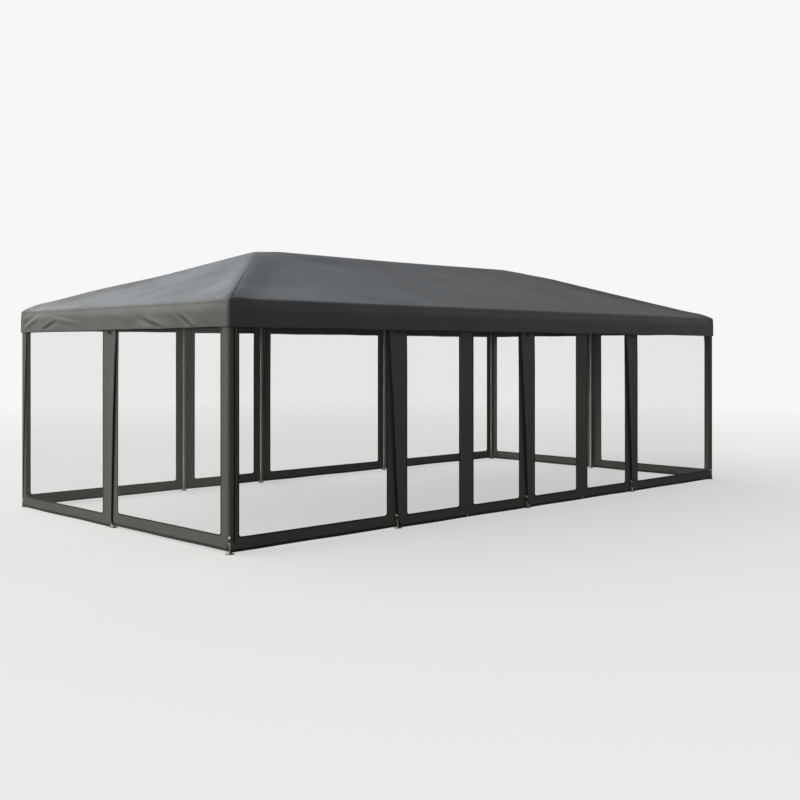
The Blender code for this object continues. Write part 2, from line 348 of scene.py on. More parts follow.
def rounded_rectangle(low: Pair, high: Pair, radius: float, spacing: float) -> tuple[Array, Array]:
    """A closed line round a rectangle with round corners, clockwise from its lower left corner.

    Args:
        low: Lower left corner.
        high: Upper right corner.
        radius: Radius of the corners.
        spacing: Longest step along the straight stretches.

    Returns:
        The points, the last the same as the first, and the outward direction at each.
    """
    quarter = np.linspace(0.0, math.pi / 2, 7)
    centres = [
        (low[0] + radius, low[1] + radius, math.pi),
        (low[0] + radius, high[1] - radius, math.pi / 2),
        (high[0] - radius, high[1] - radius, 0.0),
        (high[0] - radius, low[1] + radius, -math.pi / 2),
    ]
    corners, outward = [], []
    for x, y, start in centres:
        turn = start + math.pi / 2 - quarter
        direction = np.stack([np.cos(turn), np.sin(turn)], axis=-1)
        corners.append(np.array([x, y]) + radius * direction)
        outward.append(direction)
    points, normals = [], []
    for index in range(4):
        ahead = corners[(index + 1) % 4][0]
        behind = corners[index][-1]
        steps = max(2, int(np.linalg.norm(ahead - behind) / spacing))
        share = np.linspace(0.0, 1.0, steps + 1)[1:-1, None]
        points += [corners[index], behind + share * (ahead - behind)]
        normals += [outward[index], np.repeat(outward[index][-1:], len(share), axis=0)]
    points.append(corners[0][:1])
    normals.append(outward[0][:1])
    return np.concatenate(points), np.concatenate(normals)


class Nodes:
    """A short way of writing the node tree of a material or a world."""

    def __init__(self, name: str, world: bool = False) -> None:
        """Start a material or a world with an empty tree and its output.

        Args:
            name: Its name.
            world: Whether it is a world.
        """
        self.owner = (bpy.data.worlds if world else bpy.data.materials).new(name)
        self.owner.use_nodes = True
        self.tree = self.owner.node_tree
        self.tree.nodes.clear()
        self.output = self.add("OutputWorld" if world else "OutputMaterial")

    def feed(self, socket: Socket, value: Value) -> None:
        """Link an input to another node, or set it.

        Args:
            socket: The input.
            value: What goes into it.
        """
        if isinstance(value, Socket):
            self.tree.links.new(value, socket)
        else:
            socket.default_value = value

    def add(self, kind: str, settings: dict[str, str] | None = None, **inputs: Value) -> bpy.types.Node:
        """Add a node.

        Args:
            kind: The node's type, without its ShaderNode prefix.
            settings: Properties of the node.
            **inputs: Values or linked sockets, by the input's name with spaces as underscores, or by its
                number after the word input.

        Returns:
            The node.
        """
        node = self.tree.nodes.new("ShaderNode" + kind)
        for key, value in (settings or {}).items():
            setattr(node, key, value)
        for key, value in inputs.items():
            number = key.removeprefix("input")
            self.feed(node.inputs[int(number) if number.isdigit() else key.replace("_", " ")], value)
        return node

    def place(self) -> Socket:
        """The piece's own coordinates."""
        return self.add("TexCoord").outputs["Object"]

    def cloth(self) -> Socket:
        """The piece's cloth coordinates, in metres."""
        return self.add("UVMap", {"uv_map": "cloth"}).outputs[0]

    def math(self, operation: str, first: Value, second: Value = 0.0) -> Socket:
        """The result of a Math node."""
        return self.add("Math", {"operation": operation}, input0=first, input1=second).outputs[0]

    def vector(self, operation: str, *values: Value) -> bpy.types.Node:
        """A Vector Math node."""
        inputs = {f"input{number}": value for number, value in enumerate(values)}
        return self.add("VectorMath", {"operation": operation}, **inputs)

    def noise(self, vector: Value, scale: float, detail: float = 2.0, roughness: float = 0.5) -> Socket:
        """The value of a Noise texture, about 0.5 on average."""
        return self.add("TexNoise", Vector=vector, Scale=scale, Detail=detail, Roughness=roughness).outputs[0]

    def mapped(self, value: Value, source: Pair, target: Pair) -> Socket:
        """Map a value from one range onto another."""
        ranges = {"From_Min": source[0], "From_Max": source[1], "To_Min": target[0], "To_Max": target[1]}
        return self.add("MapRange", Value=value, **ranges).outputs[0]

    def spread(self, value: Value, low: float, high: float) -> Socket:
        """Map a noise's usual values, 0.3 to 0.7, onto low to high."""
        return self.mapped(value, (0.3, 0.7), (low, high))

    def mix(self, share: Value, first: Value, second: Value) -> Socket:
        """A colour between two colours, which are the Mix node's inputs 6 and 7."""
        node = self.add("Mix", {"data_type": "RGBA"}, input0=share, input6=first, input7=second)
        return node.outputs[2]

    def stretched(self, source: Value, scale: Triple) -> Socket:
        """Coordinates through a Mapping node with that scale."""
        return self.add("Mapping", Vector=source, Scale=scale).outputs[0]

    def bump(self, height: Value, strength: float, distance: float, under: Socket | None = None) -> Socket:
        """A normal bumped by a height, over another normal where one is given."""
        inputs = {} if under is None else {"Normal": under}
        return self.add("Bump", Height=height, Strength=strength, Distance=distance, **inputs).outputs[0]

    def waves(self, wave: str, cloth: Value, pitch: float) -> list[Socket]:
        """Waves across and along the cloth, one for each thread of that pitch.

        Args:
            wave: SINE or COSINE.
            cloth: The cloth coordinates.
            pitch: Width of a thread and its gap.

        Returns:
            The wave over the first coordinate and the wave over the second.
        """
        parts = self.add("SeparateXYZ", Vector=cloth)
        return [self.math(wave, self.math("MULTIPLY", parts.outputs[axis], TURN / pitch)) for axis in (0, 1)]

    def weave(self, cloth: Value, pitch: float) -> Socket:
        """Crossed threads: sin(u) times half of sin(v)."""
        warp, weft = self.waves("SINE", cloth, pitch)
        return self.math("MULTIPLY", warp, self.math("MULTIPLY", weft, 0.5))

    def close(self, shader: Socket) -> Material | bpy.types.World:
        """Link a shader to the output and hand over the material or world."""
        self.feed(self.output.inputs["Surface"], shader)
        return self.owner

    def finish(self, **inputs: Value) -> Material:
        """Close a material with a Principled shader of those inputs."""
        return self.close(self.add("BsdfPrincipled", **inputs).outputs[0])


def grey(value: float, tint: Triple = (1.0, 1.0, 1.0)) -> Colour:
    """A tinted grey as a colour with full alpha."""
    return (value * tint[0], value * tint[1], value * tint[2], 1.0)


@dataclass(frozen=True)
class ClothFinish:
    """Coated, woven anthracite cloth.

    Attributes:
        name: The material's name.
        light: The lighter of its two tones.
        dark: The darker one.
        roughness: How matt it is on average.
        shine: Strength of its coating's reflection.
        sheen: Weight of the soft edge glow of its fibres.
        pitch: Width of one thread and its gap.
        cockle: Height of the shallow cockles between its seams.
    """

    name: str
    light: Colour
    dark: Colour
    roughness: float
    shine: float
    sheen: float
    pitch: float
    cockle: float

    def build(self) -> Material:
        """Make the material: cloudy tone, faint dusty streaks, cockles and weave.

        Returns:
            The material.
        """
        nodes = Nodes(self.name)
        place, cloth = nodes.place(), nodes.cloth()
        clouds = nodes.noise(place, 0.9, 4.0, 0.55)
        mottle = nodes.noise(place, 14.0, 3.0, 0.6)
        streaks = nodes.noise(nodes.stretched(cloth, (2.0, 26.0, 1.0)), 1.0, 3.0, 0.55)
        tone = nodes.math("ADD", nodes.math("MULTIPLY", clouds, 0.6), nodes.math("MULTIPLY", mottle, 0.25))
        tone = nodes.math("ADD", tone, nodes.math("MULTIPLY", streaks, 0.15))
        colour = nodes.mix(nodes.spread(tone, 0.0, 1.0), self.dark, self.light)
        matt = nodes.spread(nodes.noise(place, 2.2, 3.0), self.roughness - 0.05, self.roughness + 0.05)
        cockles = nodes.noise(nodes.stretched(cloth, (2.6, 6.5, 1.0)), 1.0, 3.0, 0.45)
        cockled = nodes.bump(cockles, 0.5, self.cockle)
        woven = nodes.bump(nodes.weave(cloth, self.pitch), 0.12, 0.0004, cockled)
        return nodes.finish(
            Base_Color=colour, Roughness=matt, Normal=woven,
            Sheen_Weight=self.sheen, Sheen_Roughness=0.4, Specular_IOR_Level=self.shine,
        )


@dataclass(frozen=True)
class NetFinish:
    """Fine mosquito net, mostly holes.

    Attributes:
        name: The material's name.
        thread: Colour of its threads.
        cover: Share of the view that one layer hides on average.
        pitch: Distance between threads.
    """

    name: str
    thread: Colour
    cover: float
    pitch: float

    def build(self) -> Material:
        """Make the material: its alpha rises along crossed threads.

        Returns:
            The material.
        """
        nodes = Nodes(self.name)
        threads = nodes.math("MAXIMUM", *nodes.waves("COSINE", nodes.cloth(), self.pitch))
        alpha = nodes.mapped(threads, (-0.6, 1.0), (0.3 * self.cover, 1.5 * self.cover))
        return nodes.finish(Base_Color=self.thread, Roughness=0.7, Alpha=alpha, Specular_IOR_Level=0.2)


@dataclass(frozen=True)
class TapeFinish:
    """Ribbed binding tape with a row of stitches along each edge.

    Attributes:
        name: The material's name.
        colour: Colour of the tape.
        stitch: Colour of its thread.
        roughness: How matt it is.
        rib: Width of one rib.
        stitch_length: Length of one stitch and its gap.
        row_gap: Distance between the rows of stitches.
    """

    name: str
    colour: Colour
    stitch: Colour
    roughness: float
    rib: float = 0.0015
    stitch_length: float = 0.006
    row_gap: float = 0.009

    def build(self) -> Material:
        """Make the material: ribs across the tape and dashes along it.

        Returns:
            The material.
        """
        nodes = Nodes(self.name)
        parts = nodes.add("SeparateXYZ", Vector=nodes.cloth())
        ribs = nodes.math("SINE", nodes.math("MULTIPLY", parts.outputs[1], TURN / self.rib))
        stitch = nodes.math("FRACT", nodes.math("DIVIDE", parts.outputs[1], self.stitch_length))
        dash = nodes.math("GREATER_THAN", stitch, 0.35)
        line = nodes.math("FRACT", nodes.math("DIVIDE", parts.outputs[0], self.row_gap))
        line = nodes.math("LESS_THAN", nodes.math("ABSOLUTE", nodes.math("SUBTRACT", line, 0.5)), 0.08)
        stitches = nodes.math("MULTIPLY", dash, line)
        cloudy = nodes.spread(nodes.noise(nodes.place(), 6.0), 0.85, 1.15)
        tone = nodes.mix(stitches, self.colour, self.stitch)
        shaded = nodes.add("HueSaturation", Color=tone, Value=cloudy).outputs[0]
        normal = nodes.bump(nodes.math("ADD", nodes.math("MULTIPLY", ribs, 0.3), stitches), 0.3, 0.0004)
        return nodes.finish(
            Base_Color=shaded, Roughness=self.roughness, Normal=normal, Specular_IOR_Level=0.35,
        )


@dataclass(frozen=True)
class SteelFinish:
    """Galvanised steel tube with faint spangle and draw lines.

    Attributes:
        name: The material's name.
        colour: Colour of the metal.
        dull: Colour of its duller patches.
        roughness: How matt it is on average.
    """

    name: str
    colour: Colour
    dull: Colour
    roughness: float

    def build(self) -> Material:
        """Make the material: zinc spangle, clouded patches and a warm darker tone towards the ground.

        Returns:
            The material.
        """
        nodes = Nodes(self.name)
        place = nodes.place()
        spangle = nodes.add("TexVoronoi", {"feature": "F1"}, Vector=place, Scale=85.0).outputs[0]
        patches = nodes.noise(place, 7.0, 4.0, 0.6)
        blend = nodes.math("ADD", nodes.math("MULTIPLY", spangle, 0.5), nodes.math("MULTIPLY", patches, 0.7))
        metal = nodes.mix(nodes.spread(blend, 0.0, 1.0), self.dull, self.colour)
        height = nodes.add("SeparateXYZ", Vector=place).outputs[2]
        # Darker and warmer over the lowest 0.14 m of height.
        low = nodes.mapped(height, (0.0, 0.14), (0.35, 0.0))
        darker_near_ground = nodes.mix(low, metal, grey(0.16, (1.05, 1.0, 0.9)))
        shine = nodes.spread(patches, self.roughness - 0.06, self.roughness + 0.1)
        lines = nodes.noise(nodes.stretched(place, (220.0, 220.0, 3.0)), 1.0, 2.0)
        normal = nodes.bump(lines, 0.08, 0.0003)
        return nodes.finish(Base_Color=darker_near_ground, Metallic=0.85, Roughness=shine, Normal=normal)


@dataclass(frozen=True)
class PlasticFinish:
    """Moulded plastic or rubber.

    Attributes:
        name: The material's name.
        colour: Colour of the plastic.
        roughness: How matt it is on average.
    """

    name: str
    colour: Colour
    roughness: float

    def build(self) -> Material:
        """Make the material: a slightly uneven tone and a fine moulded grain.

        Returns:
            The material.
        """
        nodes = Nodes(self.name)
        place = nodes.place()
        scuffs = nodes.noise(place, 60.0, 3.0, 0.6)
        worn = tuple(0.75 * channel for channel in self.colour[:3]) + (1.0,)
        colour = nodes.mix(nodes.spread(scuffs, 0.0, 0.6), self.colour, worn)
        shine = nodes.spread(scuffs, self.roughness, self.roughness + 0.15)
        normal = nodes.bump(nodes.noise(place, 900.0), 0.05, 0.0002)
        return nodes.finish(Base_Color=colour, Roughness=shine, Normal=normal)


@dataclass
class Palette:
    """Every finish, made once."""

    cover: Material = field(init=False)
    wall: Material = field(init=False)
    net: Material = field(init=False)
    binding: Material = field(init=False)
    dark_tape_and_gap_shadow: Material = field(init=False)
    steel: Material = field(init=False)
    webbing: Material = field(init=False)
    white_plastic: Material = field(init=False)
    black_plastic: Material = field(init=False)

    def __post_init__(self) -> None:
        """Build the materials."""
        cool, warm = (0.96, 1.0, 1.07), (1.02, 1.0, 0.96)
        self.cover = ClothFinish(
            "cover_cloth", grey(0.068, cool), grey(0.052, cool), 0.55, 0.5, 0.05, 0.0014, 0.006,
        ).build()
        self.wall = ClothFinish(
            "wall_cloth", grey(0.104, warm), grey(0.086, warm), 0.6, 0.22, 0.03, 0.0012, 0.004,
        ).build()
        self.net = NetFinish("wall_net", grey(0.50), 0.045, 0.0016).build()
        self.binding = TapeFinish("wall_binding", grey(0.02), grey(0.035), 0.6).build()
        # Near-black tape, also used for the straps' webbing. On the free edges and the corner wraps its
        # darkness is partly painted shadow: it draws the dark line of the shaded gap under each lifted edge.
        self.dark_tape_and_gap_shadow = TapeFinish("free_edge_tape", grey(0.006), grey(0.012), 0.7).build()
        self.steel = SteelFinish("galvanised_steel", grey(0.50, (0.98, 1.0, 0.99)), grey(0.34), 0.46).build()
        self.webbing = TapeFinish("light_webbing", grey(0.34, (1.0, 0.99, 0.94)), grey(0.5), 0.7).build()
        self.white_plastic = PlasticFinish("white_ball", grey(0.72, (1.0, 0.99, 0.95)), 0.35).build()
        self.black_plastic = PlasticFinish("black_ball", grey(0.008), 0.4).build()


def keep(piece: Piece) -> Piece:
    """Fasten a finished piece to the body, and report it.

    Args:
        piece: The finished piece.

    Returns:
        The same piece.
    """
    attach(piece, BODY)
    LOG.info("%s: %d faces", piece.name, len(piece.data.polygons))
    return piece


def thicken(piece: Piece, thickness: float) -> None:
    """Give a sheet its thickness, inwards from the face that is modelled.

    Args:
        piece: The sheet.
        thickness: How thick it becomes.
    """
    solid = piece.modifiers.new("thickness", "SOLIDIFY")
    solid.thickness = thickness
    solid.offset = -1.0


@dataclass(frozen=True)
class Crease:
    """A soft fold in a cloth, along a straight line on one side.

    Attributes:
        side: The side that it is on.
        start: Along and height at one end.
        end: Along and height at the other end.
        depth: How far it stands out, or in where negative.
        width: Half its width.
    """

    side: Side
    start: Pair
    end: Pair
    depth: float
    width: float

    def lift(self, along: Array, height: Array) -> Array:
        """How far the cloth stands out: a bell across the line that fades over its last third at each end.

        Args:
            along: Places along the side.
            height: Heights above the ground.

        Returns:
            Distances outwards, negative where it stands in.
        """
        line = np.subtract(self.end, self.start)
        span = float(np.hypot(*line))
        off = np.stack([along - self.start[0], height - self.start[1]], axis=-1)
        share = off @ line / span**2
        aside = (off[..., 0] * line[1] - off[..., 1] * line[0]) / span
        fade = ease(-0.25, 0.3, share) * (1.0 - ease(0.7, 1.25, share))
        return self.depth * bell(aside, self.width) * fade


@dataclass
class Cover:
    """The roof cover: four slopes and a straight valance, sewn into one sheet.

    Attributes:
        corner_radius: How round the valance is at a corner, in plan.
        fold_radius: How round the fold over an eave is.
        blend: Height over which neighbouring slopes run into each other.
        sag: How far a slope hangs between the rafters at its middle.
        settle: How far a slope's middle lies on the rafters below a straight line.
        tilt: Slant of the cloth where the eave's fold ends and the valance begins, in radians.
        fullness: How far the valance stands out below the fold.
        shoulder: Height over which it comes out that far.
        over_valance: Height of the eave line above the top of the valance's solid.
        ridge_inset: How far the cloth's ridge ends before the ridge tube does.
        left_bulge: How far the hip tubes at the left end push the cloth up.
        right_bulge: How far those at the right end do.
        corner_lift: How far the corner joints do.
        ridge_lift: How far the ridge tube does.
        ridge_dip: How far the cloth hangs again at the ridge's middle.
        hollow: Depth of the hollow beside the front slope's left hip.
        slow_wave: Height and length of the valance's long waves.
        quick_wave: Height and length of its short ones.
        steps: Columns of each side. The front has as many as the back, so that they meet on the ridge.
        slope_steps: Rows up a slope.
        fold_steps: Rows round the fold over an eave.
        valance_steps: Rows up the valance.
        half_length: Half the length of the roof in plan.
        half_width: Half its width.
        eave: Height of the eave line.
        ridge: Height of the ridge.
        ridge_half: Half the length of the cloth's ridge.
        stations: Where the posts stand along each side.
        hems: Height of each side's hem.
        creases: The folds in its valances.
    """

    palette: Palette
    corner_radius: float = 0.035
    fold_radius: float = 0.05
    blend: float = 0.014
    sag: float = 0.012
    settle: float = 0.007
    tilt: float = 0.40
    fullness: float = 0.017
    shoulder: float = 0.080
    over_valance: float = 0.0033
    ridge_inset: float = 0.026
    left_bulge: float = 0.030
    right_bulge: float = 0.019
    corner_lift: float = 0.020
    ridge_lift: float = 0.015
    ridge_dip: float = 0.009
    hollow: float = 0.024
    slow_wave: Pair = (0.004, 1.37)
    quick_wave: Pair = (0.0020, 0.43)
    slope_steps: int = 38
    fold_steps: int = 9
    valance_steps: int = 18
    steps: dict[Side, int] = field(default_factory=lambda: {
        Side.FRONT: 200, Side.RIGHT: 100, Side.BACK: 200, Side.LEFT: 200,
    })
    half_length: float = field(init=False)
    half_width: float = field(init=False)
    eave: float = field(init=False)
    ridge: float = field(init=False)
    ridge_half: float = field(init=False)
    stations: dict[Side, list[float]] = field(init=False)
    hems: dict[Side, float] = field(init=False)
    creases: list[Crease] = field(init=False)

    def __post_init__(self) -> None:
        """Read the roof's sizes from the frame, and list the valances' creases."""
        low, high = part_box("roof_front")
        self.half_length, self.half_width, self.ridge = high.x, -low.y, high.z
        self.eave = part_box("valance_front")[1].z + self.over_valance
        self.ridge_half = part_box("ridge")[1].x - self.ridge_inset
        self.stations = {side: post_places(side) for side in Side}
        self.hems = {side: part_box(f"valance_{side.label}")[0].z for side in Side}
        self.creases = [
            Crease(Side.LEFT, (1.56, 2.176), (1.95, 2.008), -0.0085, 0.016),
            Crease(Side.LEFT, (1.62, 2.150), (1.99, 1.985), 0.0080, 0.017),
            Crease(Side.LEFT, (1.32, 2.104), (1.56, 1.978), 0.0085, 0.016),
            Crease(Side.LEFT, (1.26, 2.088), (1.48, 1.978), -0.0060, 0.016),
            Crease(Side.LEFT, (1.66, 2.070), (1.80, 1.995), 0.0040, 0.014),
            Crease(Side.LEFT, (1.08, 2.125), (1.30, 2.055), 0.0035, 0.020),
            Crease(Side.LEFT, (0.58, 2.072), (0.94, 1.980), -0.0065, 0.022),
            Crease(Side.LEFT, (0.70, 2.078), (1.06, 1.996), 0.0055, 0.020),
            Crease(Side.LEFT, (0.12, 2.120), (0.48, 2.060), 0.0030, 0.026),
            Crease(Side.LEFT, (-1.24, 2.150), (-0.68, 2.084), -0.0050, 0.022),
            Crease(Side.LEFT, (-1.14, 2.112), (-0.62, 2.056), 0.0045, 0.022),
            Crease(Side.LEFT, (-1.94, 2.056), (-1.62, 2.164), -0.0065, 0.020),
            Crease(Side.LEFT, (-1.90, 2.014), (-1.58, 2.126), 0.0060, 0.020),
            Crease(Side.LEFT, (-1.46, 2.026), (-1.18, 2.100), 0.0055, 0.018),
            Crease(Side.LEFT, (-1.40, 2.002), (-1.13, 2.074), -0.0045, 0.018),
            Crease(Side.FRONT, (-3.92, 2.020), (-3.45, 2.150), -0.0030, 0.025),
            Crease(Side.FRONT, (-0.20, 2.060), (0.30, 2.020), 0.0020, 0.030),
            Crease(Side.FRONT, (3.40, 2.160), (3.93, 2.010), -0.0035, 0.025),
            Crease(Side.BACK, (-3.93, 2.010), (-3.50, 2.150), -0.0050, 0.018),
            Crease(Side.BACK, (-1.30, 2.060), (-0.70, 2.010), 0.0035, 0.025),
            Crease(Side.BACK, (2.20, 2.020), (2.70, 2.110), -0.0035, 0.022),
            Crease(Side.BACK, (3.45, 2.160), (3.93, 2.010), -0.0060, 0.018),
            Crease(Side.RIGHT, (-1.95, 2.015), (-1.50, 2.160), -0.0060, 0.018),
            Crease(Side.RIGHT, (-0.30, 2.090), (0.25, 2.040), 0.0035, 0.025),
            Crease(Side.RIGHT, (1.50, 2.170), (1.95, 2.020), -0.0055, 0.018),
        ]

    def plane_height(self, x: Array, y: Array) -> Array:
        """Height of the roof before it sags.

        The lowest of the four slopes' planes, rounded where they meet: minus k times the logarithm of the
        sum of e to the power of minus each height over k.

        Args:
            x: Places along the length.
            y: Places across the width.

        Returns:
            Heights.
        """
        side_rise = (self.ridge - self.eave) / self.half_width
        end_rise = (self.ridge - self.eave) / (self.half_length - self.ridge_half)
        planes = np.stack([
            side_rise * (self.half_width + y), side_rise * (self.half_width - y),
            end_rise * (self.half_length + x), end_rise * (self.half_length - x),
        ])
        lowest = planes.min(axis=0)
        rounded = np.log(np.exp(-(planes - lowest) / self.blend).sum(axis=0))
        level = lowest / (self.ridge - self.eave)
        off_hip = planes[:2].min(axis=0) - planes[2:].min(axis=0)
        return self.eave + lowest - self.blend * rounded + self.fullness_at(x, y, level, off_hip)

    def fullness_at(self, x: Array, y: Array, level: Array, off_hip: Array) -> Array:
        """How far the tubes under the cloth push it up above its planes.

        The bent hip tubes lift it along the hips, the corner joints next to the corners, and the ridge tube
        along the ridge, which hangs a little between its ends.

        Args:
            x: Places along the length.
            y: Places across the width.
            level: 0 at the eave and 1 at the ridge.
            off_hip: Difference in height between the planes of a side and an end, 0 on a hip.

        Returns:
            Distances upwards.
        """
        left = self.left_bulge * (1.0 - ease(0.30, 0.65, level))
        right = self.right_bulge * (1.0 - ease(0.80, 0.97, level))
        hips = np.where(x < 0.0, left, right) * ease(0.0, 0.14, level) * bell(off_hip, 0.10)
        joint = np.hypot(self.half_length - 0.11 - np.abs(x), self.half_width - 0.11 - np.abs(y))
        middle = np.clip(np.abs(x) / self.ridge_half, 0.0, 1.0)
        dip = self.ridge_dip * np.cos(0.5 * math.pi * middle) ** 2
        ridge = self.ridge_lift * ease(0.04, 0.36, self.ridge_half - np.abs(x)) - dip
        return hips + self.corner_lift * bell(joint, 0.13) + ridge * bell(y, 0.30)

    @property
    def valance_top(self) -> float:
        """Height where the fold over an eave ends and the valance begins."""
        return self.eave - self.fold_radius * (1.0 - math.sin(self.tilt))

    def half_along(self, side: Side) -> float:
        """Half the length of a side's eave."""
        return self.half_length if side.is_long else self.half_width

    def half_out(self, side: Side) -> float:
        """How far a side's eave is from the middle of the plan."""
        return self.half_width if side.is_long else self.half_length

    def slack(self, side: Side, along: Array, share: Array) -> Array:
        """How far a slope hangs below its planes.

        It settles by sin(pi t), with t from the eave to the ridge, and hangs between the posts' rafters by
        the square of sin(pi u) times sin(pi t), with u counting from one rafter to the next. A shallow
        hollow runs beside the front slope's left hip.

        Args:
            side: The slope's side.
            along: Places along the side.
            share: 0 at the eave and 1 at the ridge.

        Returns:
            Distances downwards.
        """
        rafters = self.stations[side]
        count = np.interp(along, rafters, np.arange(len(rafters)))
        rise = np.sin(math.pi * np.clip(share, 0.0, 1.0))
        drop = self.settle * rise + self.sag * np.sin(math.pi * count) ** 2 * rise
        hip_end = self.half_along(side) - (self.half_length - self.ridge_half) * share
        if not side.is_long:
            hip_end = self.half_width * (1.0 - share)
        hip = ease(0.0, 0.35, hip_end - np.abs(along))
        drop = hip * drop + (1.0 - hip) * 0.35 * self.settle * rise
        if side is Side.FRONT:
            beside = np.maximum(hip_end + along, 0.0)
            hollow = self.hollow * ease(0.02, 0.50, beside) * (1.0 - ease(0.50, 1.70, beside))
            carried = bell(along - rafters[1], 0.28)
            drop = drop + hollow * (1.0 - carried) * ease(0.0, 0.35, share) * (1.0 - ease(0.74, 0.95, share))
        return drop

    def ripple(self, side: Side, along: Array, height: Array) -> Array:
        """How far the valance stands out.

        It is full below the fold, by 1 - (1 - t)^2 with t from 0 at the fold to 1 below its shoulder. Slow
        waves grow towards the hem, and they and the side's creases fade out at the corners.

        Args:
            side: The side.
            along: Places along the side.
            height: Heights above the ground.

        Returns:
            Distances outwards.
        """
        phase = 1.3 * side.value
        top = self.valance_top
        low = np.clip((top - height) / (top - self.hems[side]), 0.0, 1.0)
        (long_height, long_length), (short_height, short_length) = self.slow_wave, self.quick_wave
        waves = 0.5 + 0.5 * np.sin(TURN * along / long_length + phase)
        short = 0.5 + 0.5 * np.sin(TURN * along / short_length + 2.1 * phase + 3.0 * low)
        swing = long_height * waves + short_height * short + 0.001
        corner = ease(0.0, 0.35, self.half_along(side) - np.abs(along))
        folds = sum(crease.lift(along, height) for crease in self.creases if crease.side is side)
        full = self.fullness * (1.0 - (1.0 - np.clip((top - height) / self.shoulder, 0.0, 1.0)) ** 2)
        calm = ease(0.0, 0.12, self.half_along(side) - np.abs(along) - 0.02)
        return full * (0.25 + 0.75 * corner) + swing * low**1.3 * corner + folds * calm

    def hem_line(self, side: Side, along: Array) -> Array:
        """Height of the hem.

        The side's own height in the middle, eased to the lower of two neighbours' heights at each corner,
        with two slow waves of a few millimetres that end at the corners.

        Args:
            side: The side.
            along: Places along the side.

        Returns:
            Heights above the ground.
        """
        own = self.hems[side]
        beyond = np.where(along < 0.0, self.hems[side.previous], self.hems[side.following])
        inner = self.half_along(side) - np.abs(along)
        level = own + np.minimum(beyond - own, 0.0) * (1.0 - ease(0.0, 0.9, inner))
        phase = 0.9 + 2.0 * side.value
        waves = 0.002 * np.sin(4.1 * along + phase) + 0.0015 * np.sin(11.0 * along + phase)
        return level + waves * ease(0.0, 0.5, inner)

    def columns(self, side: Side) -> tuple[Array, Array, Array]:
        """The columns of one side, from the middle of one corner's round to the middle of the next.

        Args:
            side: The side.

        Returns:
            Along and outward of the eave line, along of the ridge's end of each column, and the outward
            direction as along and outward pairs.
        """
        half, out, radius = self.half_along(side), self.half_out(side), self.corner_radius
        share = np.linspace(-1.0, 1.0, self.steps[side] + 1)
        straight = (half - radius) * (0.86 * share + 0.14 * np.sin(0.5 * math.pi * share))
        turn = np.linspace(0.0, math.pi / 4, 4)[1:]
        rounded = np.stack([np.sin(turn), np.cos(turn)], axis=-1)
        right = np.array([half - radius, out - radius]) + radius * rounded
        left = right[::-1] * np.array([-1.0, 1.0])
        eave = np.concatenate([left, np.stack([straight, np.full_like(straight, out)], axis=-1), right])
        level = np.stack([np.zeros_like(straight), np.ones_like(straight)], axis=-1)
        normal = np.concatenate([rounded[::-1] * np.array([-1.0, 1.0]), level, rounded])
        reach = self.ridge_half if side.is_long else 0.0
        ridge = np.clip(eave[:, 0] / (half - radius), -1.0, 1.0) * reach
        return eave, ridge, normal

    def side_grid(self, side: Side) -> Surface:
        """One side of the cover, from its hem over the eave's fold to the ridge.

        Below the fold a point goes straight down from the eave line and out by the ripple. On the fold it
        follows an arc that touches the valance's plane and the slope's. On the slope it goes in a straight
        line in plan from the fold to the ridge, at the rounded planes' height less the slack.

        Args:
            side: The side.

        Returns:
            The surface, with cloth coordinates along the side and up the column.
        """
        eave, ridge, normal = self.columns(side)
        radius = self.fold_radius

        def height_at(along: Array, outward: Array) -> Array:
            """The rounded planes' height at a place on this side."""
            place = side.world(along, outward, np.zeros_like(along))
            return self.plane_height(place[..., 0], place[..., 1])

        edge = height_at(eave[:, 0], eave[:, 1])
        inner = eave - radius * normal
        rise = (height_at(inner[:, 0], inner[:, 1]) - edge) / radius
        centre = edge + rise * radius * math.cos(self.tilt) - radius * np.sqrt(1.0 + rise**2)

        low = np.linspace(0.0, 1.0, self.valance_steps + 1)[:-1, None]
        hem = self.hem_line(side, eave[:, 0])
        height = hem + low * (centre + radius * math.sin(self.tilt) - hem)
        along = np.broadcast_to(eave[:, 0], height.shape)
        swing = self.ripple(side, along, height)
        valance = [along + swing * normal[:, 0], eave[:, 1] + swing * normal[:, 1], height]

        share = np.linspace(0.0, 1.0, self.fold_steps + 1)[:, None]
        turn = self.tilt + share * (math.pi / 2 - np.arctan(rise) - self.tilt)
        inset = radius * (math.cos(self.tilt) - np.cos(turn))
        level = centre + radius * np.sin(turn)
        fold = [eave[:, 0] - inset * normal[:, 0], eave[:, 1] - inset * normal[:, 1], level]

        share = np.linspace(0.0, 1.0, self.slope_steps + 1)[1:, None]
        along = fold[0][-1] + share * (ridge - fold[0][-1])
        top = 0.0 if side.is_long else self.ridge_half
        outward = fold[1][-1] + share * (top - fold[1][-1])
        height = height_at(along, outward) - self.slack(side, along, share)
        rows = [np.concatenate(parts) for parts in zip(valance, fold, (along, outward, height))]
        points = side.world(*rows)
        uv = np.stack([rows[0], lengths(points, 0)], axis=-1)
        return Surface.from_grid(points, uv)

    def sheet(self) -> Piece:
        """The whole cover as one sheet.

        Returns:
            The piece.
        """
        surface = Surface.joined([self.side_grid(side) for side in Side])
        piece = surface.build("cover", [self.palette.cover], False)
        thicken(piece, CLOTH_THICKNESS)
        return piece

    def seams(self) -> Piece:
        """Flat-felled seams along the four hips and the ridge, a little proud of the cloth.

        Each follows the cloth's own points: the last column of each side, and the front's top row.

        Returns:
            The piece.
        """
        parts = []
        rows = self.valance_steps + self.fold_steps + 1 + self.slope_steps
        for side in Side:
            grid = self.side_grid(side).points.reshape(rows, -1, 3)
            path = grid[self.valance_steps + self.fold_steps:, -1]
            parts.append(self.roof_seam(path, np.cross(unit(path[-1] - path[0]), UP)))
            if side is Side.FRONT:
                parts.append(self.roof_seam(grid[-1, 3:-3], (0.0, 1.0, 0.0)))
        return Surface.joined(parts).build("cover_seams", [self.palette.cover])

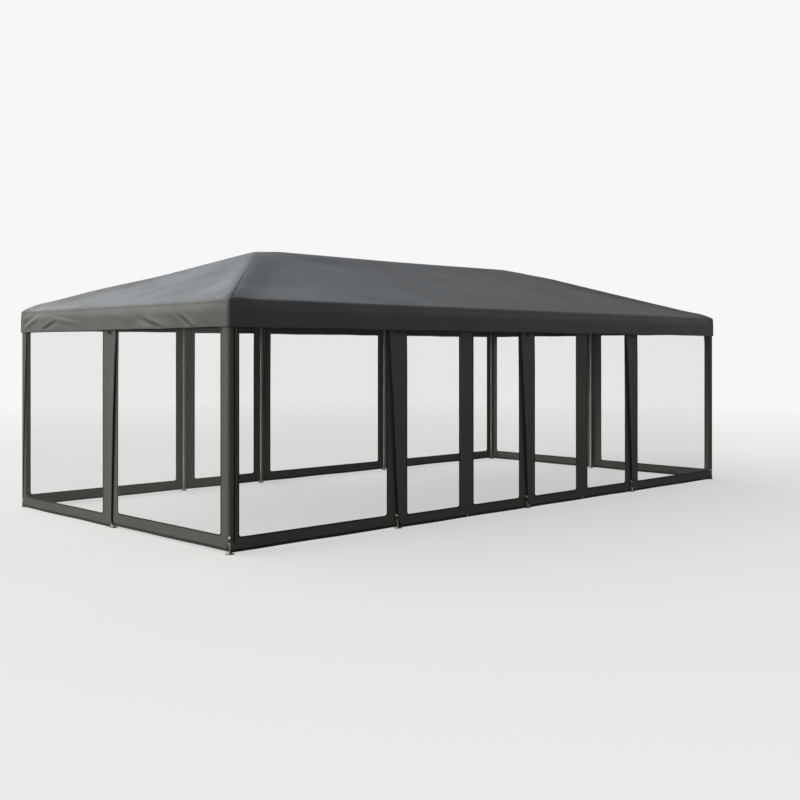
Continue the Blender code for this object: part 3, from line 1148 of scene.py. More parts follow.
    def roof_seam(self, path: Array, across: Array | Triple) -> Surface:
        """One seam along a crest, as a flat band that bends over it.

        Args:
            path: Points on the crest.
            across: Direction across the crest.

        Returns:
            The seam's surface.
        """
        width, inner, fall, proud, deep = 0.012, 0.005, 0.022, 0.00014, 0.0004
        edge = -width * fall
        outline = np.array([
            (-width, edge - deep), (-width, edge + 0.1 * proud), (-inner, proud - 0.4 * inner * fall),
            (inner, proud - 0.4 * inner * fall), (width, edge + 0.1 * proud), (width, edge - deep),
            (0.0, edge - deep), (-width, edge - deep),
        ])
        return ribbon(path, alike(across, path), alike(UP, path), outline)

    def around(self, height_share: float) -> tuple[Array, Array, Array]:
        """A closed line round the valance.

        Args:
            height_share: 0 at the hem and 1 at the bottom of the eave's fold.

        Returns:
            Its points, the upward directions and the outward directions.
        """
        points, outward = [], []
        for side in Side:
            eave, _, normal = self.columns(side)
            hem = self.hem_line(side, eave[:, 0])
            height = hem + height_share * (self.valance_top - hem)
            swing = self.ripple(side, eave[:, 0], height)
            place = eave + swing[:, None] * normal
            points.append(side.world(place[:, 0], place[:, 1], height)[:-1])
            outward.append(side.world(normal[:, 0], normal[:, 1], np.zeros(len(eave)))[:-1])
        points.append(points[0][:1])
        outward.append(outward[0][:1])
        path, normals = np.concatenate(points), np.concatenate(outward)
        return path, alike(UP, path), normals

    def hem_band(self) -> Piece:
        """The folded hem that goes all round the valance's lower edge.

        Returns:
            The piece.
        """
        path, up, outward = self.around(0.0)
        outline = band_outline(-0.0015, 0.022, -CLOTH_THICKNESS - 0.0008, 0.0007)
        return ribbon(path, up, outward, outline, capped=False).build("cover_hem", [self.palette.cover])

    def build(self) -> None:
        cover = keep(self.sheet())
        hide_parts(*[f"{part}_{side.label}" for part in ("roof", "valance") for side in Side])
        trims = [keep(piece) for piece in (self.seams(), self.hem_band())]
        drop = self.eave - sum(self.hems.values()) / len(self.hems)


def post_places(side: Side) -> list[float]:
    """Where the posts of a side stand along it, from left to right, its corners included.

    Args:
        side: The side.

    Returns:
        Their along values.
    """
    names = {
        Side.FRONT: ("front_left", "front_1", "front_2", "front_3", "front_right"),
        Side.RIGHT: ("front_right", "right_middle", "back_right"),
        Side.BACK: ("back_right", "back_3", "back_2", "back_1", "back_left"),
        Side.LEFT: ("back_left", "left_middle", "front_left"),
    }[side]
    places = []
    for name in names:
        low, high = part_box(f"post_{name}")
        places.append(side.along_of((low + high) / 2))
    return places


def posts_line(side: Side) -> float:
    """How far a side's line of posts is from the middle of the plan."""
    return post_places(side.following)[-1]


class EdgeKind(Enum):
    """How a wall panel's upright edge is finished."""

    CORNER = "turns the corner"
    FREE = "lies loose over the next panel"
    UNDER = "lies under the next panel's free edge"


@dataclass(frozen=True)
class Edge:
    """An upright edge of a wall panel.

    Attributes:
        kind: How it is finished.
        top: Along at the panel's top.
        foot: Along at its hem.
        opening: Height up to which it draws back from the post's foot.
        drawn: How far it draws back there.
    """

    kind: EdgeKind
    top: float
    foot: float
    opening: float = 0.094
    drawn: float = 0.032


@dataclass
class WallSizes:
    """Sizes that all the wall panels share.

    Attributes:
        top: Height of a panel's upper edge.
        foot: Height of its hem.
        window_top: Height of a net's upper edge.
        window_foot: Height of its lower edge.
        standoff: From a row of posts' middle line to the cloth's outer face.
        underlap: How far a panel reaches under its neighbour's free edge.
        bulge: How far a free edge stands out.
        belly: How far a panel's waves stand out at most.
        slow_length: Length of its long waves.
        quick_length: Length of its short ones.
        binding: Half the width of the binding round a net.
        window_corner: Radius of a net's corners.
        cloth_cell: Width of a cell of cloth, before it is rounded to fit.
        net_cell: Width of a cell of net, likewise.
    """

    top: float = 2.14
    foot: float = 0.008
    window_top: float = 2.03
    window_foot: float = 0.125
    standoff: float = 0.0275
    underlap: float = 0.032
    bulge: float = 0.010
    belly: float = 0.006
    slow_length: float = 1.9
    quick_length: float = 0.47
    binding: float = 0.007
    window_corner: float = 0.032
    cloth_cell: float = 0.03
    net_cell: float = 0.07


@dataclass
class Panel:
    """One netted wall panel: a cloth border with net windows sewn into it.

    Attributes:
        node: The node that it stands for.
        side: The side that it hangs on.
        reach: From the middle of the plan to the side's line of posts.
        corner: From the side's middle to its corner.
        left: Its left edge.
        right: Its right edge.
        windows: Left and right of each net.
        palette: The finishes.
        sizes: The shared sizes.
    """

    node: str
    side: Side
    reach: float
    corner: float
    left: Edge
    right: Edge
    windows: list[Pair]
    palette: Palette
    sizes: WallSizes

    def edge_line(self, edge: Edge, height: Array) -> Array:
        """Along of an upright edge at each height.

        A straight slant from the foot to the top. A free edge's neighbour goes on under it, but for its
        lowest part, and the free edge and a corner's edge draw back there from the post's foot.

        Args:
            edge: The edge.
            height: Heights above the ground.

        Returns:
            Places along the side.
        """
        sizes = self.sizes
        share = (height - sizes.foot) / (sizes.top - sizes.foot)
        line = edge.foot + share * (edge.top - edge.foot)
        sign = 1.0 if edge is self.right else -1.0
        clear = ease(0.35 * edge.opening, edge.opening, height)
        if edge.kind is EdgeKind.UNDER:
            return line + sign * (sizes.underlap + 0.02) * ease(edge.opening, edge.opening + 0.05, height)
        return line - sign * edge.drawn * (1.0 - clear)

    def outward(self, along: Array, height: Array) -> Array:
        """Distance of the cloth's face from the middle of the plan.

        The posts' line plus the standoff, plus slow waves that fade at the top and the corners, plus a free
        edge's bulge, or less a step where the panel lies under its neighbour.

        Args:
            along: Places along the side.
            height: Heights above the ground.

        Returns:
            Outward distances.
        """
        sizes = self.sizes
        phase = 0.7 + 1.9 * self.side.value
        hang = 1.0 - ease(1.6, 2.05, height)
        corner = ease(0.02, 0.4, self.corner - np.abs(along))
        slow = 0.5 + 0.5 * np.sin(TURN * along / sizes.slow_length + phase + 0.5 * height)
        quick = 0.5 + 0.5 * np.sin(TURN * along / sizes.quick_length + 2.3 * phase - 1.1 * height)
        low = 1.0 - ease(0.0, 0.9, height)
        offset = sizes.belly * (0.75 * slow + 0.25 * quick * (0.4 + 0.6 * low)) * hang * corner
        for edge, sign in ((self.left, 1.0), (self.right, -1.0)):
            inside = sign * (along - self.edge_line(edge, height))
            if edge.kind is EdgeKind.FREE:
                tall = np.sin(math.pi * np.clip(height / 2.0, 0.0, 1.0)) ** 0.7
                offset = offset + (sizes.bulge * tall + 0.002) * (1.0 - ease(0.0, 0.11, inside))
            if edge.kind is EdgeKind.UNDER:
                offset = offset * ease(0.02, 0.16, inside) - 0.004 * (1.0 - ease(0.06, 0.13, inside))
        return self.reach + sizes.standoff + offset

    def hem_height(self, along: Array) -> Array:
        """Height of the hem: a few millimetres of slow wave above its lowest."""
        wave = 0.5 + 0.5 * np.sin(5.3 * along + 1.7 * self.side.value)
        return self.sizes.foot - 0.001 + 0.003 * wave

    def stops(self) -> tuple[list[tuple[float, int]], list[tuple[float, int]]]:
        """The window's lines across the panel and up it.

        Returns:
            Lines across and lines up, each with the number of cells that lead up to it.
        """
        across = []
        last = (self.left.top + self.left.foot) / 2
        for low, high in self.windows:
            across.append((low, max(3, int((low - last) / self.sizes.cloth_cell))))
            across.append((high, max(6, int((high - low) / self.sizes.net_cell))))
            last = high
        return across, [(self.sizes.window_foot, 5), (self.sizes.window_top, 26), (self.sizes.top, 7)]

    def grid(self) -> tuple[Array, Array, Indices]:
        """The panel's cells.

        Across, each stretch between the left edge, the windows' sides and the right edge is divided
        evenly, and so is each stretch up between the hem, the windows' foot and top and the panel's top.

        Returns:
            Along and height of each grid point, and 1 for the cells that are net.
        """
        across, up = self.stops()
        tall = [np.array([self.sizes.foot])]
        for (end, cells), start in zip(up, [self.sizes.foot] + [place for place, _ in up]):
            tall.append(np.linspace(start, end, cells + 1)[1:])
        height = np.concatenate(tall)[:, None]
        left, right = self.edge_line(self.left, height), self.edge_line(self.right, height)
        lines = [left] + [np.full_like(left, place) for place, _ in across] + [right]
        last = max(3, int((float(right.mean()) - across[-1][0]) / self.sizes.cloth_cell))
        counts = [cells for _, cells in across] + [last]
        wide = [left]
        for start, end, cells in zip(lines[:-1], lines[1:], counts):
            share = np.linspace(0.0, 1.0, cells + 1)[1:][None, :]
            wide.append(start + share * (end - start))
        along = np.concatenate(wide, axis=1)
        height = np.broadcast_to(height, along.shape).copy()
        hem = self.hem_height(along[0])
        foot, window_foot = self.sizes.foot, self.sizes.window_foot
        near = 1.0 - np.clip((height - foot) / (window_foot - foot), 0.0, 1.0)
        height = height + near * (hem - foot)
        middle_along = (along[1:, 1:] + along[1:, :-1]) / 2
        middle_height = (height[1:, 1:] + height[:-1, 1:]) / 2
        tall_enough = (middle_height > window_foot) & (middle_height < self.sizes.window_top)
        net = np.zeros(middle_along.shape, bool)
        for low, high in self.windows:
            net |= (middle_along > low) & (middle_along < high) & tall_enough
        return along, height, net.astype(int)

    def place(self, along: Array, height: Array, proud: Array | float = 0.0) -> Array:
        """Points on the panel's face, or proud of it."""
        return self.side.world(along, self.outward(along, height) + proud, height)

    def sheet(self) -> Piece:
        """The panel's cloth and net as one sheet.

        Returns:
            The piece.
        """
        along, height, net = self.grid()
        surface = Surface.from_grid(self.place(along, height), np.stack([along, height], axis=-1), net)
        piece = surface.build(f"{self.node}_cloth", [self.palette.wall, self.palette.net], False)
        thicken(piece, WALL_THICKNESS)
        return piece

    def tape(self, line: Array, aside: Array, outline: Array, capped: bool = True) -> Surface:
        """A tape sewn onto the panel.

        Args:
            line: Along and height pairs of the tape's line.
            aside: The direction across the tape at each, as along and height.
            outline: The tape's section, across and out of the cloth.
            capped: Whether its ends are closed.

        Returns:
            The tape's surface, which follows the cloth at every point of its section.
        """
        flat = line[:, None] + outline[None, :, :1] * unit(aside)[:, None]
        grid = self.place(flat[..., 0], flat[..., 1], outline[None, :, 1])
        return Surface.from_grid(with_ends(grid) if capped else grid)

    def bindings(self) -> Piece:
        """The binding round each net, with round corners.

        Returns:
            The piece.
        """
        parts = []
        low_height, high_height = self.sizes.window_foot, self.sizes.window_top
        half, corner = self.sizes.binding, self.sizes.window_corner
        outline = band_outline(-half, half, -0.0022, 0.0012)
        for low, high in self.windows:
            line, aside = rounded_rectangle((low, low_height), (high, high_height), corner, 0.06)
            parts.append(self.tape(line, aside, outline, capped=False))
            for x, x_sign in ((low, 1.0), (high, -1.0)):
                for z, z_sign in ((low_height, 1.0), (high_height, -1.0)):
                    parts.append(self.gusset(x, z, x_sign, z_sign))
        return Surface.joined(parts).build(f"{self.node}_binding", [self.palette.binding])

    def gusset(self, along: float, height: float, x_sign: float, z_sign: float) -> Surface:
        """The little corner of cloth between a net's square corner and its round binding.

        Args:
            along: The corner's place along the side.
            height: The corner's height.
            x_sign: 1 for a left corner and -1 for a right one.
            z_sign: 1 for a lower corner and -1 for an upper one.

        Returns:
            A thin closed wedge between the corner and the binding's round.
        """
        turn = np.linspace(0.0, math.pi / 2, 7)
        radius = self.sizes.window_corner
        arc = np.stack([
            along + x_sign * radius * (1.0 - np.sin(turn)), height + z_sign * radius * (1.0 - np.cos(turn)),
        ], axis=-1)
        corner = np.array([along - x_sign * 0.002, height - z_sign * 0.002])
        rows = np.stack([np.broadcast_to(corner, arc.shape), arc])
        rows = rows if x_sign * z_sign < 0 else rows[::-1]
        outer = self.place(rows[..., 0], rows[..., 1], 0.0005)
        inner = self.place(rows[..., 0], rows[..., 1], -0.0014)
        shell = np.stack([outer[0], outer[1], inner[1], inner[0], outer[0]])
        return Surface.from_grid(with_ends(shell.swapaxes(0, 1)).swapaxes(0, 1))

    def hems(self) -> Piece:
        """The folded hem along the foot, and the tape along the top.

        Returns:
            The piece.
        """
        hem = band_outline(-0.0008, 0.028, -0.0024, 0.0013)
        top_tape = band_outline(-0.030, 0.0008, -0.0022, 0.0012)
        parts = []
        for level, outline in ((self.sizes.foot, hem), (self.sizes.top, top_tape)):
            ends = [float(self.edge_line(edge, np.array(level))) for edge in (self.left, self.right)]
            along = np.linspace(*ends, 60)
            height = self.hem_height(along) if outline is hem else np.full_like(along, level)
            line = np.stack([along, height], axis=-1)
            parts.append(self.tape(line, alike((0.0, 1.0), line), outline))
        return Surface.joined(parts).build(f"{self.node}_hems", [self.palette.binding])

    def free_edges_shadow_tape(self) -> Piece | None:
        """The near-black tape folded over each edge that isn't at a corner. Its darkness is partly painted
        shadow, drawing the shaded gap under the lifted edge.

        Returns:
            The piece, or None for a panel with no such edge.
        """
        low = self.sizes.foot + 0.003
        height = low + (self.sizes.top - low) * np.linspace(0.0, 1.0, 80) ** 1.5
        parts = []
        for edge, sign in ((self.left, -1.0), (self.right, 1.0)):
            if edge.kind is EdgeKind.CORNER:
                continue
            line = np.stack([self.edge_line(edge, height), height], axis=-1)
            outline = band_outline(-0.012, 0.0012, -0.0026, 0.0018)
            parts.append(self.tape(line, alike((sign, 0.0), line), outline))
        if not parts:
            return None
        return Surface.joined(parts).build(f"{self.node}_edge_tape", [self.palette.dark_tape_and_gap_shadow])

    def build(self) -> None:
        cloth = keep(self.sheet())
        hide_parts(self.node)
        trims = [self.bindings(), self.hems(), self.free_edges_shadow_tape()]
        trims = [keep(piece) for piece in trims if piece]


@dataclass
class Walls:
    """All the wall panels and their corner wraps.

    Attributes:
        palette: The finishes.
        sizes: The sizes that the panels share.
        long_lean: Along of a long side's free edges from their post, at the top and at the foot.
        end_lean: The same on an end.
        long_borders: Cloth before and after a post on a long side, from the post to the net.
        end_borders: The same on an end.
        long_corner: Cloth between a corner post and the net on a long side.
        end_corner: The same on an end.
        strip: Width of a strip of cloth between two nets.
        strips: The front panels that have such a strip, by number, and where its middle is.
        wrap_foot: Height of a corner wrap's lower edge.
        hitched: How far a panel is hitched up, where its hem hangs higher.
        long_leg: How far a wrap at a long side's right-hand end reaches round, at the top and at the foot.
        end_leg: The same at an end.
    """

    palette: Palette
    sizes: WallSizes = field(default_factory=WallSizes)
    long_lean: Pair = (-0.172, -0.034)
    end_lean: Pair = (0.120, 0.020)
    long_borders: Pair = (0.172, 0.095)
    end_borders: Pair = (0.160, 0.135)
    long_corner: float = 0.074
    end_corner: float = 0.094
    strip: float = 0.215
    strips: dict[int, float] = field(default_factory=lambda: {2: -1.0, 3: 1.025})
    wrap_foot: float = 0.105
    hitched: dict[str, float] = field(default_factory=lambda: {"wall_left_2": 0.021, "wall_front_1": 0.011})
    long_leg: Pair = (0.115, 0.014)
    end_leg: Pair = (0.03, 0.03)

    def panel(self, side: Side, number: int, left: Edge, right: Edge, windows: list[Pair]) -> Panel:
        """A panel of a side, hitched up where its hem hangs higher.

        Args:
            side: The side.
            number: Its number, from the left.
            left: Its left edge.
            right: Its right edge.
            windows: Left and right of each net.

        Returns:
            The panel.
        """
        corner, reach = post_places(side)[-1], posts_line(side)
        node = f"wall_{side.label}_{number}"
        hitch = self.hitched.get(node, 0.0)
        foot, window_foot = self.sizes.foot + hitch, self.sizes.window_foot + 1.4 * hitch
        sizes = replace(self.sizes, foot=foot, window_foot=window_foot)
        return Panel(node, side, reach, corner, left, right, windows, self.palette, sizes)

    def corner_edge(self, post: float) -> Edge:
        """A panel's edge at a corner post, where the corner wrap goes on."""
        return Edge(EdgeKind.CORNER, post, post, self.wrap_foot + 0.01, -0.012)

    def long_side(self, side: Side) -> list[Panel]:
        """The four panels of a long side.

        Each panel's left edge lies free over the panel before it, and leans to the left at the top.

        Args:
            side: The side.

        Returns:
            Its panels.
        """
        posts = post_places(side)
        (top, foot), (before, after) = self.long_lean, self.long_borders
        panels = []
        for number in range(1, len(posts)):
            low_post, high_post = posts[number - 1], posts[number]
            left = Edge(EdgeKind.FREE, low_post + top, low_post + foot)
            right = Edge(EdgeKind.UNDER, high_post + top, high_post + foot)
            low, high = low_post + after, high_post - before
            if number == 1:
                left = self.corner_edge(low_post)
                low = low_post + self.long_corner
            if number == len(posts) - 1:
                right = self.corner_edge(high_post)
                high = high_post - self.long_corner
            windows = [(low, high)]
            if side is Side.FRONT and number in self.strips:
                middle = self.strips[number]
                windows = [(low, middle - self.strip / 2), (middle + self.strip / 2, high)]
            panels.append(self.panel(side, number, left, right, windows))
        return panels

    def end_side(self, side: Side) -> list[Panel]:
        """The two panels of an end, the left one with its right edge free and leaning to the right.

        Args:
            side: The side.

        Returns:
            Its panels.
        """
        low_post, middle, high_post = post_places(side)
        (top, foot), (before, after) = self.end_lean, self.end_borders
        free = Edge(EdgeKind.FREE, middle + top, middle + foot, 0.055, 0.030)
        under = Edge(EdgeKind.UNDER, middle + top, middle + foot + 0.006, 0.055, 0.0)
        first = (low_post + self.end_corner, middle - before)
        second = (middle + after, high_post - self.end_corner)
        return [
            self.panel(side, 1, self.corner_edge(low_post), free, [first]),
            self.panel(side, 2, under, self.corner_edge(high_post), [second]),
        ]

    def wrap_shell(self, side: Side, leg: Array, low: float, proud: float, thick: float) -> Surface:
        """A strip of cloth round the corner post at a side's right-hand end.

        The run is counted round the corner: below 0 it lies flat on this side, then it goes along an arc
        about the post, then flat on the next side, where its edge stands out by a few millimetres.

        Args:
            side: The side before the corner.
            leg: How far the strip reaches onto the next side at each height.
            low: The run where the strip starts, from this side's flat, or from its far edge where positive.
            proud: How far it lies outside the wrap's face.
            thick: Its thickness.

        Returns:
            The closed surface.
        """
        corner, reach = post_places(side)[-1], posts_line(side)
        radius = self.sizes.standoff + 0.0016
        arc = radius * math.pi / 2
        height = np.linspace(self.wrap_foot, self.sizes.top, len(leg))[:, None]
        if low < 0.0:
            share = np.linspace(0.0, 1.0, 7)[1:]
            run = np.concatenate([
                np.linspace(low, 0.0, 4) + 0.0 * height, np.linspace(0.0, arc, 9)[1:] + 0.0 * height,
                arc + share * leg,
            ], axis=1)
        else:
            run = arc + leg + np.linspace(-low, 0.0012, 3)
        turn = np.clip(run / radius, 0.0, math.pi / 2)
        tall = np.sin(math.pi * np.clip(height / 2.0, 0.0, 1.0))
        loose = ease(-0.04, 0.02, run - arc - leg) * ease(0.0, 0.03, run - arc)
        lift = (0.002 + 0.009 * tall) * loose + proud
        shells = []
        for depth in (lift, lift - thick):
            along = corner + np.minimum(run, 0.0) + (radius + depth) * np.sin(turn)
            outward = reach + (radius + depth) * np.cos(turn) - np.maximum(run - arc, 0.0)
            shells.append(side.world(along, outward, height + 0.0 * run))
        outer, inner = shells
        shell = np.concatenate([outer, inner[:, ::-1], outer[:, :1]], axis=1)
        return Surface.from_grid(with_ends(shell))

    def corner_wrap(self, side: Side, top: float, foot: float) -> list[Piece]:
        """The cloth that turns the corner at a side's right-hand end, up to a slanted free edge under
        near-black tape, whose darkness is partly painted shadow of the gap there.

        Args:
            side: The side before the corner.
            top: How far it reaches onto the next side at the top.
            foot: How far it reaches there at the foot.

        Returns:
            The wrap and its edge tape.
        """
        leg = np.linspace(foot, top, 50)[:, None]
        name = f"corner_wrap_{side.label}_{side.following.label}"
        cloth = self.wrap_shell(side, leg, -0.045, 0.0, 0.0014)
        # The near-black tape along the free edge stands in for the shadow of the gap under it: painted
        # shadow.
        tape = self.wrap_shell(side, leg, 0.012, 0.0006, 0.0028)
        return [cloth.build(name, [self.palette.wall]), tape.build(f"{name}_tape", [self.palette.dark_tape_and_gap_shadow])]

    def build(self) -> None:
        """Make every panel, then the corner wraps."""
        for side in Side:
            for panel in self.long_side(side) if side.is_long else self.end_side(side):
                panel.build()
        for side in Side:
            for piece in self.corner_wrap(side, *(self.long_leg if side.is_long else self.end_leg)):
                keep(piece)


@dataclass
class Frame:
    """The tube frame: posts with feet, and the rails, ridge and rafters in their CAD shapes.

    Attributes:
        palette: The finishes.
        joint_height: Height where a post's upper tube plugs into its lower one.
    """

    palette: Palette
    joint_height: float = 1.10

    def post(self, name: str) -> Piece:
        """A post of two tubes, the upper one swaged to plug into the lower one, on a cupped foot.

        Args:
            name: The node's name.

        Returns:
            The piece.
        """
        low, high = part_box(name)
        centre = np.array([(low.x + high.x) / 2, (low.y + high.y) / 2, 0.0])
        joint, top = self.joint_height, high.z
        profile = [
            (0.0, 0.0), (0.0405, 0.0), (0.042, 0.0012), (0.042, 0.0032), (0.0408, 0.004), (0.0275, 0.0042),
            (0.0238, 0.0062), (0.0225, 0.010), (0.0225, 0.033), (0.0218, 0.0345), (0.0192, 0.035),
            (0.019, 0.0365), (0.019, joint - 0.012), (0.0194, joint - 0.008), (0.0194, joint - 0.002),
            (0.0186, joint), (0.0168, joint + 0.0005), (0.0165, joint + 0.002), (0.0165, joint + 0.011),
            (0.0172, joint + 0.016), (0.0178, joint + 0.022), (0.018, joint + 0.028), (0.018, top),
            (0.0, top),
        ]
        parts = [turned(profile, centre)]
        outward = np.array((-1.0, 0.0, 0.0) if name.endswith("_middle") else (0.0, -1.0, 0.0))
        button = [(0.0, 0.0), (0.0036, 0.0), (0.0036, 0.0022), (0.0026, 0.0036), (0.0, 0.0041)]
        parts.append(turned(button, centre + [0.0, 0.0, joint - 0.03] + 0.0178 * outward, 12, outward))
        piece = Surface.joined(parts).build(f"{name}_tubes", [self.palette.steel])
        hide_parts(name)
        return piece

    def build(self) -> None:
        """Make the posts and dress the rails, ridge and rafters."""
        for name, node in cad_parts.items():
            if name.startswith("post_"):
                keep(self.post(name))
            elif name.startswith(("eave_rail_", "ridge", "rafter_", "hip_")):
                node.data.materials.clear()
                node.data.materials.append(self.palette.steel)


@dataclass
class Fittings:
    """Small fittings: ties at the posts' feet and under the eaves, straps over the rails, and screws.

    Attributes:
        palette: The finishes.
        ball: Radius of a tie's ball.
        foot_tie: Height of the ties at the feet.
        eave_tie: Height of the ties under the eaves.
        beside: How far a foot's tie is to the left of its post.
        corner_turn: How far round its post the first foot's tie is, in radians.
        strap_gap: Distance between straps on a rail, before it is rounded to fit between posts.
        rail_over_post: Height of the rails' middle line above the posts' tops.
        strap_radius: From a rail's middle line to a strap's.
        screw_height: Height of the wing screws.
    """

    palette: Palette
    ball: float = 0.0115
    foot_tie: float = 0.138
    eave_tie: float = 1.955
    beside: float = 0.054
    corner_turn: float = 0.62
    strap_gap: float = 0.5
    rail_over_post: float = 0.0903
    strap_radius: float = 0.0205
    screw_height: float = 2.125

    def tie(self, side: Side, along: float, height: float, tilt: float, turn: float = 0.0) -> list[Surface]:
        """A ball on a short loop of cord that comes out of an eyelet in the cloth.

        Args:
            side: The side that it is on.
            along: Its place along the side, or its post's where it is turned.
            height: Its height.
            tilt: How far the ball hangs down, as a slope.
            turn: How far round the post it is from the side's outward direction, to the left, in radians.

        Returns:
            The ball with its collar, and the eyelet.
        """
        ahead, aside = math.cos(turn), math.sin(turn)
        standoff = WallSizes.standoff
        centre = side.world(along - standoff * aside, posts_line(side) + standoff * ahead, height)
        outward = side.world(-aside, ahead, -tilt)
        bend = np.linspace(-0.36 * math.pi, math.pi / 2, 12)
        stand = 0.006 + self.ball
        ball = [(self.ball * math.cos(angle), stand + self.ball * math.sin(angle)) for angle in bend]
        stem = [(0.0, 0.0), (0.0022, 0.0), (0.0022, 0.004), (0.0048, 0.005), (0.0048, 0.0072)]
        eyelet = [
            (0.0048, 0.0), (0.0095, 0.0), (0.0095, 0.0024), (0.0080, 0.0036), (0.0056, 0.0036), (0.0048, 0.0),
        ]
        return [
            turned(stem + ball[1:-1] + [(0.0, stand + self.ball)], centre, 16, outward),
            turned(eyelet, centre, 20, outward),
        ]

    def foot_ties(self, side: Side) -> Piece:
        """A pale ball tie to the left of each post's foot.

        Args:
            side: The side.

        Returns:
            The piece.
        """
        parts = []
        for index, post in enumerate(post_places(side)):
            if index == 0:
                parts += self.tie(side, post, self.foot_tie + 0.014, 0.3, self.corner_turn)
            else:
                parts += self.tie(side, post - self.beside, self.foot_tie, 0.3)
        return Surface.joined(parts).build(f"foot_ties_{side.label}", [self.palette.white_plastic])

    def eave_ties(self, side: Side) -> Piece:
        """A dark ball tie just under the valance at each post between the corners.

        Args:
            side: The side.

        Returns:
            The piece.
        """
        parts = []
        for post in post_places(side)[1:-1]:
            parts += self.tie(side, post - 0.02, self.eave_tie, 0.5)
        return Surface.joined(parts).build(f"eave_ties_{side.label}", [self.palette.black_plastic])

    def straps(self, side: Side) -> Piece:
        """Webbing loops that hang the wall from the rail.

        Each goes from the cloth's top up the outer face of the rail, round it by an arc about its middle
        line, and back down inside the cloth.

        Args:
            side: The side.

        Returns:
            The loops.
        """
        reach = posts_line(side)
        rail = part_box("post_front_1")[1].z + self.rail_over_post
        bend = np.linspace(-0.1 * math.pi, 1.2 * math.pi, 16)
        arc = self.strap_radius * np.stack([np.cos(bend), np.sin(bend)], axis=-1) + [0.0, rail]
        outer, inner = [(0.0262, 2.105), (0.0262, 2.140)], [(0.008, 2.150), (0.0235, 2.128), (0.0238, 2.105)]
        path = np.concatenate([outer, arc, inner])
        outline = band_outline(-0.0125, 0.0125, -0.0006, 0.0006)
        parts = []
        places = post_places(side)
        for left, right in zip(places[:-1], places[1:]):
            count = max(2, round((right - left) / self.strap_gap))
            for place in left + (right - left) * (np.arange(count) + 0.5) / count:
                points = side.world(place, reach + path[:, 0], path[:, 1])
                across = alike(side.world(1.0, 0.0, 0.0), points)
                ahead = unit(np.gradient(points, axis=0))
                parts.append(ribbon(points, across, np.cross(ahead, across), outline))
        return Surface.joined(parts).build(f"wall_straps_{side.label}", [self.palette.dark_tape_and_gap_shadow])

    def screws(self) -> Piece:
        """A wing screw on the inner face of each post's sleeve, but for a long side's right-hand corner.

        Returns:
            The piece.
        """
        stem = [
            (0.0, 0.0), (0.0065, 0.0), (0.0065, 0.004), (0.0032, 0.0045), (0.0032, 0.012),
            (0.0075, 0.0125), (0.0082, 0.0140), (0.0082, 0.0205), (0.0070, 0.0220), (0.0, 0.0220),
        ]
        parts = []
        for side in Side:
            corner, *middle = post_places(side)[:-1]
            for post in middle + ([corner] if side.is_long else []):
                centre = side.world(post, posts_line(side) - 0.0222, self.screw_height)
                inward = side.world(0.05 if post == corner else 0.0, -1.0, 0.0)
                parts.append(turned(stem, centre, 10, inward))
        return Surface.joined(parts).build("wing_screws", [self.palette.steel])

    def tabs(self) -> Piece:
        """Two light webbing tabs at the front's hem, below its middle strips.

        Returns:
            The piece.
        """
        parts = []
        reach = posts_line(Side.FRONT) + 0.0295
        for along, foot in ((-0.985, 0.012), (1.035, 0.006)):
            height = np.array([foot, foot + 0.008, foot + 0.02, foot + 0.03])
            outward = reach + np.array([0.002, 0.0035, 0.0025, 0.0012])
            path = Side.FRONT.world(along, outward, height)
            across, normal = alike((1.0, 0.0, 0.0), path), alike((0.0, -1.0, 0.0), path)
            parts.append(ribbon(path, across, normal, band_outline(-0.011, 0.011, -0.0009, 0.0009)))
        return Surface.joined(parts).build("hem_tabs", [self.palette.webbing])

    def build(self) -> None:
        """Make every fitting."""
        for side in Side:
            if side.is_long:
                keep(self.foot_ties(side))
            keep(self.eave_ties(side))
            keep(self.straps(side))
        keep(self.screws())
        keep(self.tabs())


@dataclass(frozen=True)
class Glow:
    """A soft patch of light in the surroundings.

    Attributes:
        towards: The direction of its middle.
        strength: Its brightness there.
        focus: How narrow it is, as the power of the cosine of the angle from its middle.
        tint: Its colour.
    """

    towards: Triple
    strength: float
    focus: float
    tint: Triple = (1.0, 1.0, 1.0)


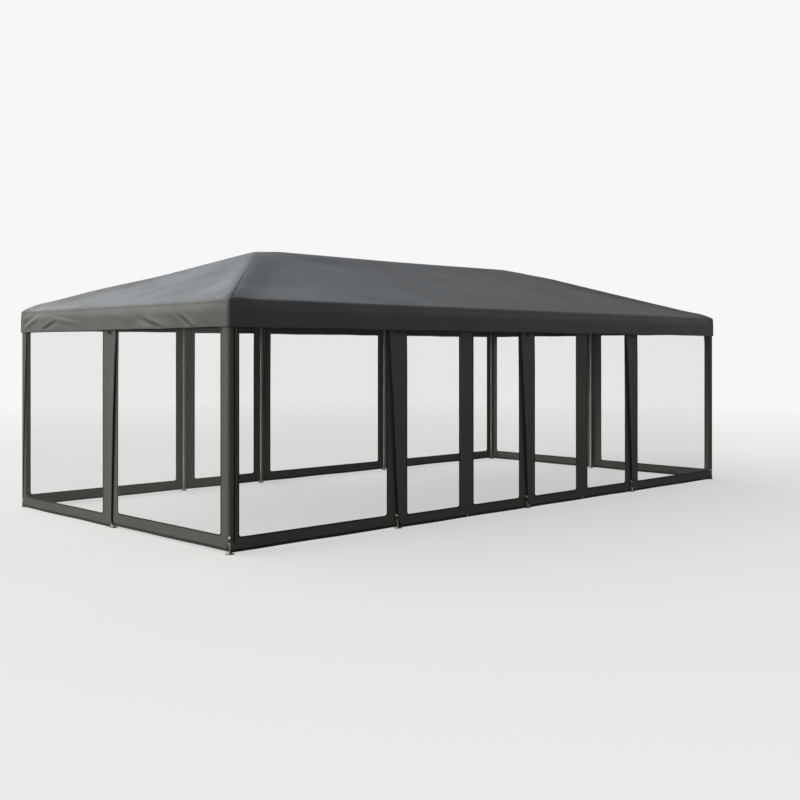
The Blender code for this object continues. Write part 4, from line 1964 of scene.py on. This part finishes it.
@dataclass
class Studio:
    """A pale floor, soft lights, and a camera where the photograph was taken from.

    Attributes:
        camera_place: Where the camera stands.
        camera_heading: How far it is turned to the right of +Y, in degrees.
        focal_length: Its lens, in millimetres.
        frame_shift: How far its frame is moved down, as a share of its width.
        backdrop: Tone of the backdrop.
        ambient: Brightness of the surroundings as a light.
        glows: Brighter patches of the surroundings.
        bounce: How much light the floor sends back.
    """

    camera_place: Triple = (-9.435, -9.763, 1.755)
    camera_heading: float = 43.96
    focal_length: float = 48.57
    frame_shift: float = -0.06
    backdrop: float = 0.93
    ambient: float = 0.05
    glows: tuple[Glow, ...] = (
        Glow((0.08, 0.90, 0.40), 2.40, 20.0, (1.0, 1.0, 0.98)),
        Glow((-0.40, 0.85, 0.35), 0.95, 6.0, (1.0, 1.0, 0.98)),
        Glow((-1.0, 0.0, 0.32), 1.62, 4.0, (1.05, 1.0, 0.86)),
        Glow((-0.75, 0.65, 0.30), 2.10, 6.0, (1.04, 1.0, 0.88)),
        Glow((0.1, 0.75, 0.65), 0.75, 6.0, (0.89, 1.0, 1.13)),
        Glow((0.50, 0.80, 0.38), 0.56, 10.0, (0.89, 1.0, 1.13)),
        Glow((0.80, -0.36, 0.52), 0.72, 12.0, (0.98, 1.0, 1.02)),
        Glow((0.95, -0.42, -0.02), 0.55, 8.0, (1.0, 1.0, 0.98)),
    )
    bounce: float = 0.22

    def floor(self) -> None:
        """A round floor whose rim runs into the backdrop's tone, and which bounces little light."""
        radius = np.array([0.0, 4.0, 8.0, 14.0, 30.0, 80.0, 240.0])[::-1]
        angle = np.linspace(0.0, TURN, 65)
        ring = np.stack([np.cos(angle), np.sin(angle), 0.0 * angle], axis=-1)
        points = radius[:, None, None] * ring
        nodes = Nodes("pale_floor")
        seen = nodes.add("LightPath").outputs["Is Camera Ray"]
        distance = nodes.vector("LENGTH", nodes.place()).outputs["Value"]
        far = nodes.mapped(distance, (7.0, 24.0), (0.55, 1.0))
        tone = nodes.mix(seen, grey(self.bounce), grey(0.80))
        matt = nodes.add("BsdfPrincipled", Base_Color=tone, Roughness=0.85, Specular_IOR_Level=0.1)
        glow = nodes.add("Emission", Color=grey(self.backdrop), Strength=1.0)
        lit = nodes.math("MULTIPLY", seen, far)
        shader = nodes.add("MixShader", input0=lit, input1=matt.outputs[0], input2=glow.outputs[0])
        floor = Surface.from_grid(points).build("floor", [nodes.close(shader.outputs[0])], False)

    def sky(self) -> None:
        """An even pale backdrop, whose light on the object is dimmer and comes mostly from its glows."""
        nodes = Nodes("backdrop", world=True)
        direction = nodes.add("TexCoord").outputs["Generated"]
        light = (self.ambient,) * 3
        for glow in self.glows:
            towards = tuple(Vector(glow.towards).normalized())
            dot = nodes.vector("DOT_PRODUCT", direction, towards).outputs["Value"]
            lobe = nodes.math("POWER", nodes.math("MAXIMUM", dot, 0.0), glow.focus)
            colour = tuple(glow.strength * channel for channel in glow.tint)
            light = nodes.vector("MULTIPLY_ADD", lobe, colour, light).outputs["Vector"]
        seen = nodes.add("LightPath").outputs["Is Camera Ray"]
        background = nodes.add("Background", Color=nodes.mix(seen, light, grey(self.backdrop)), Strength=1.0)
        bpy.context.scene.world = nodes.close(background.outputs[0])

    def camera(self) -> None:
        """The camera, level and turned to the right of +Y by its heading."""
        lens = bpy.data.cameras.new("camera")
        lens.lens = self.focal_length
        lens.shift_y = self.frame_shift
        camera = bpy.data.objects.new("camera", lens)
        camera.location = self.camera_place
        camera.rotation_euler = Euler((math.pi / 2, 0.0, -math.radians(self.camera_heading)))
        bpy.context.scene.collection.objects.link(camera)
        bpy.context.scene.camera = camera

    def build(self) -> None:
        """Set up the camera, floor, backdrop and lights."""
        self.camera()
        self.floor()
        self.sky()
        bpy.context.scene.view_settings.view_transform = "Standard"


def main() -> None:
    """Dress the gazebo piece by piece."""
    logging.basicConfig(level=logging.INFO, format="%(name)s: %(message)s")
    palette = Palette()
    for part in (Studio(), Frame(palette), Walls(palette), Cover(palette), Fittings(palette)):
        part.build()
        LOG.info("%s done", type(part).__name__)


if __name__ == "__main__":
    main()
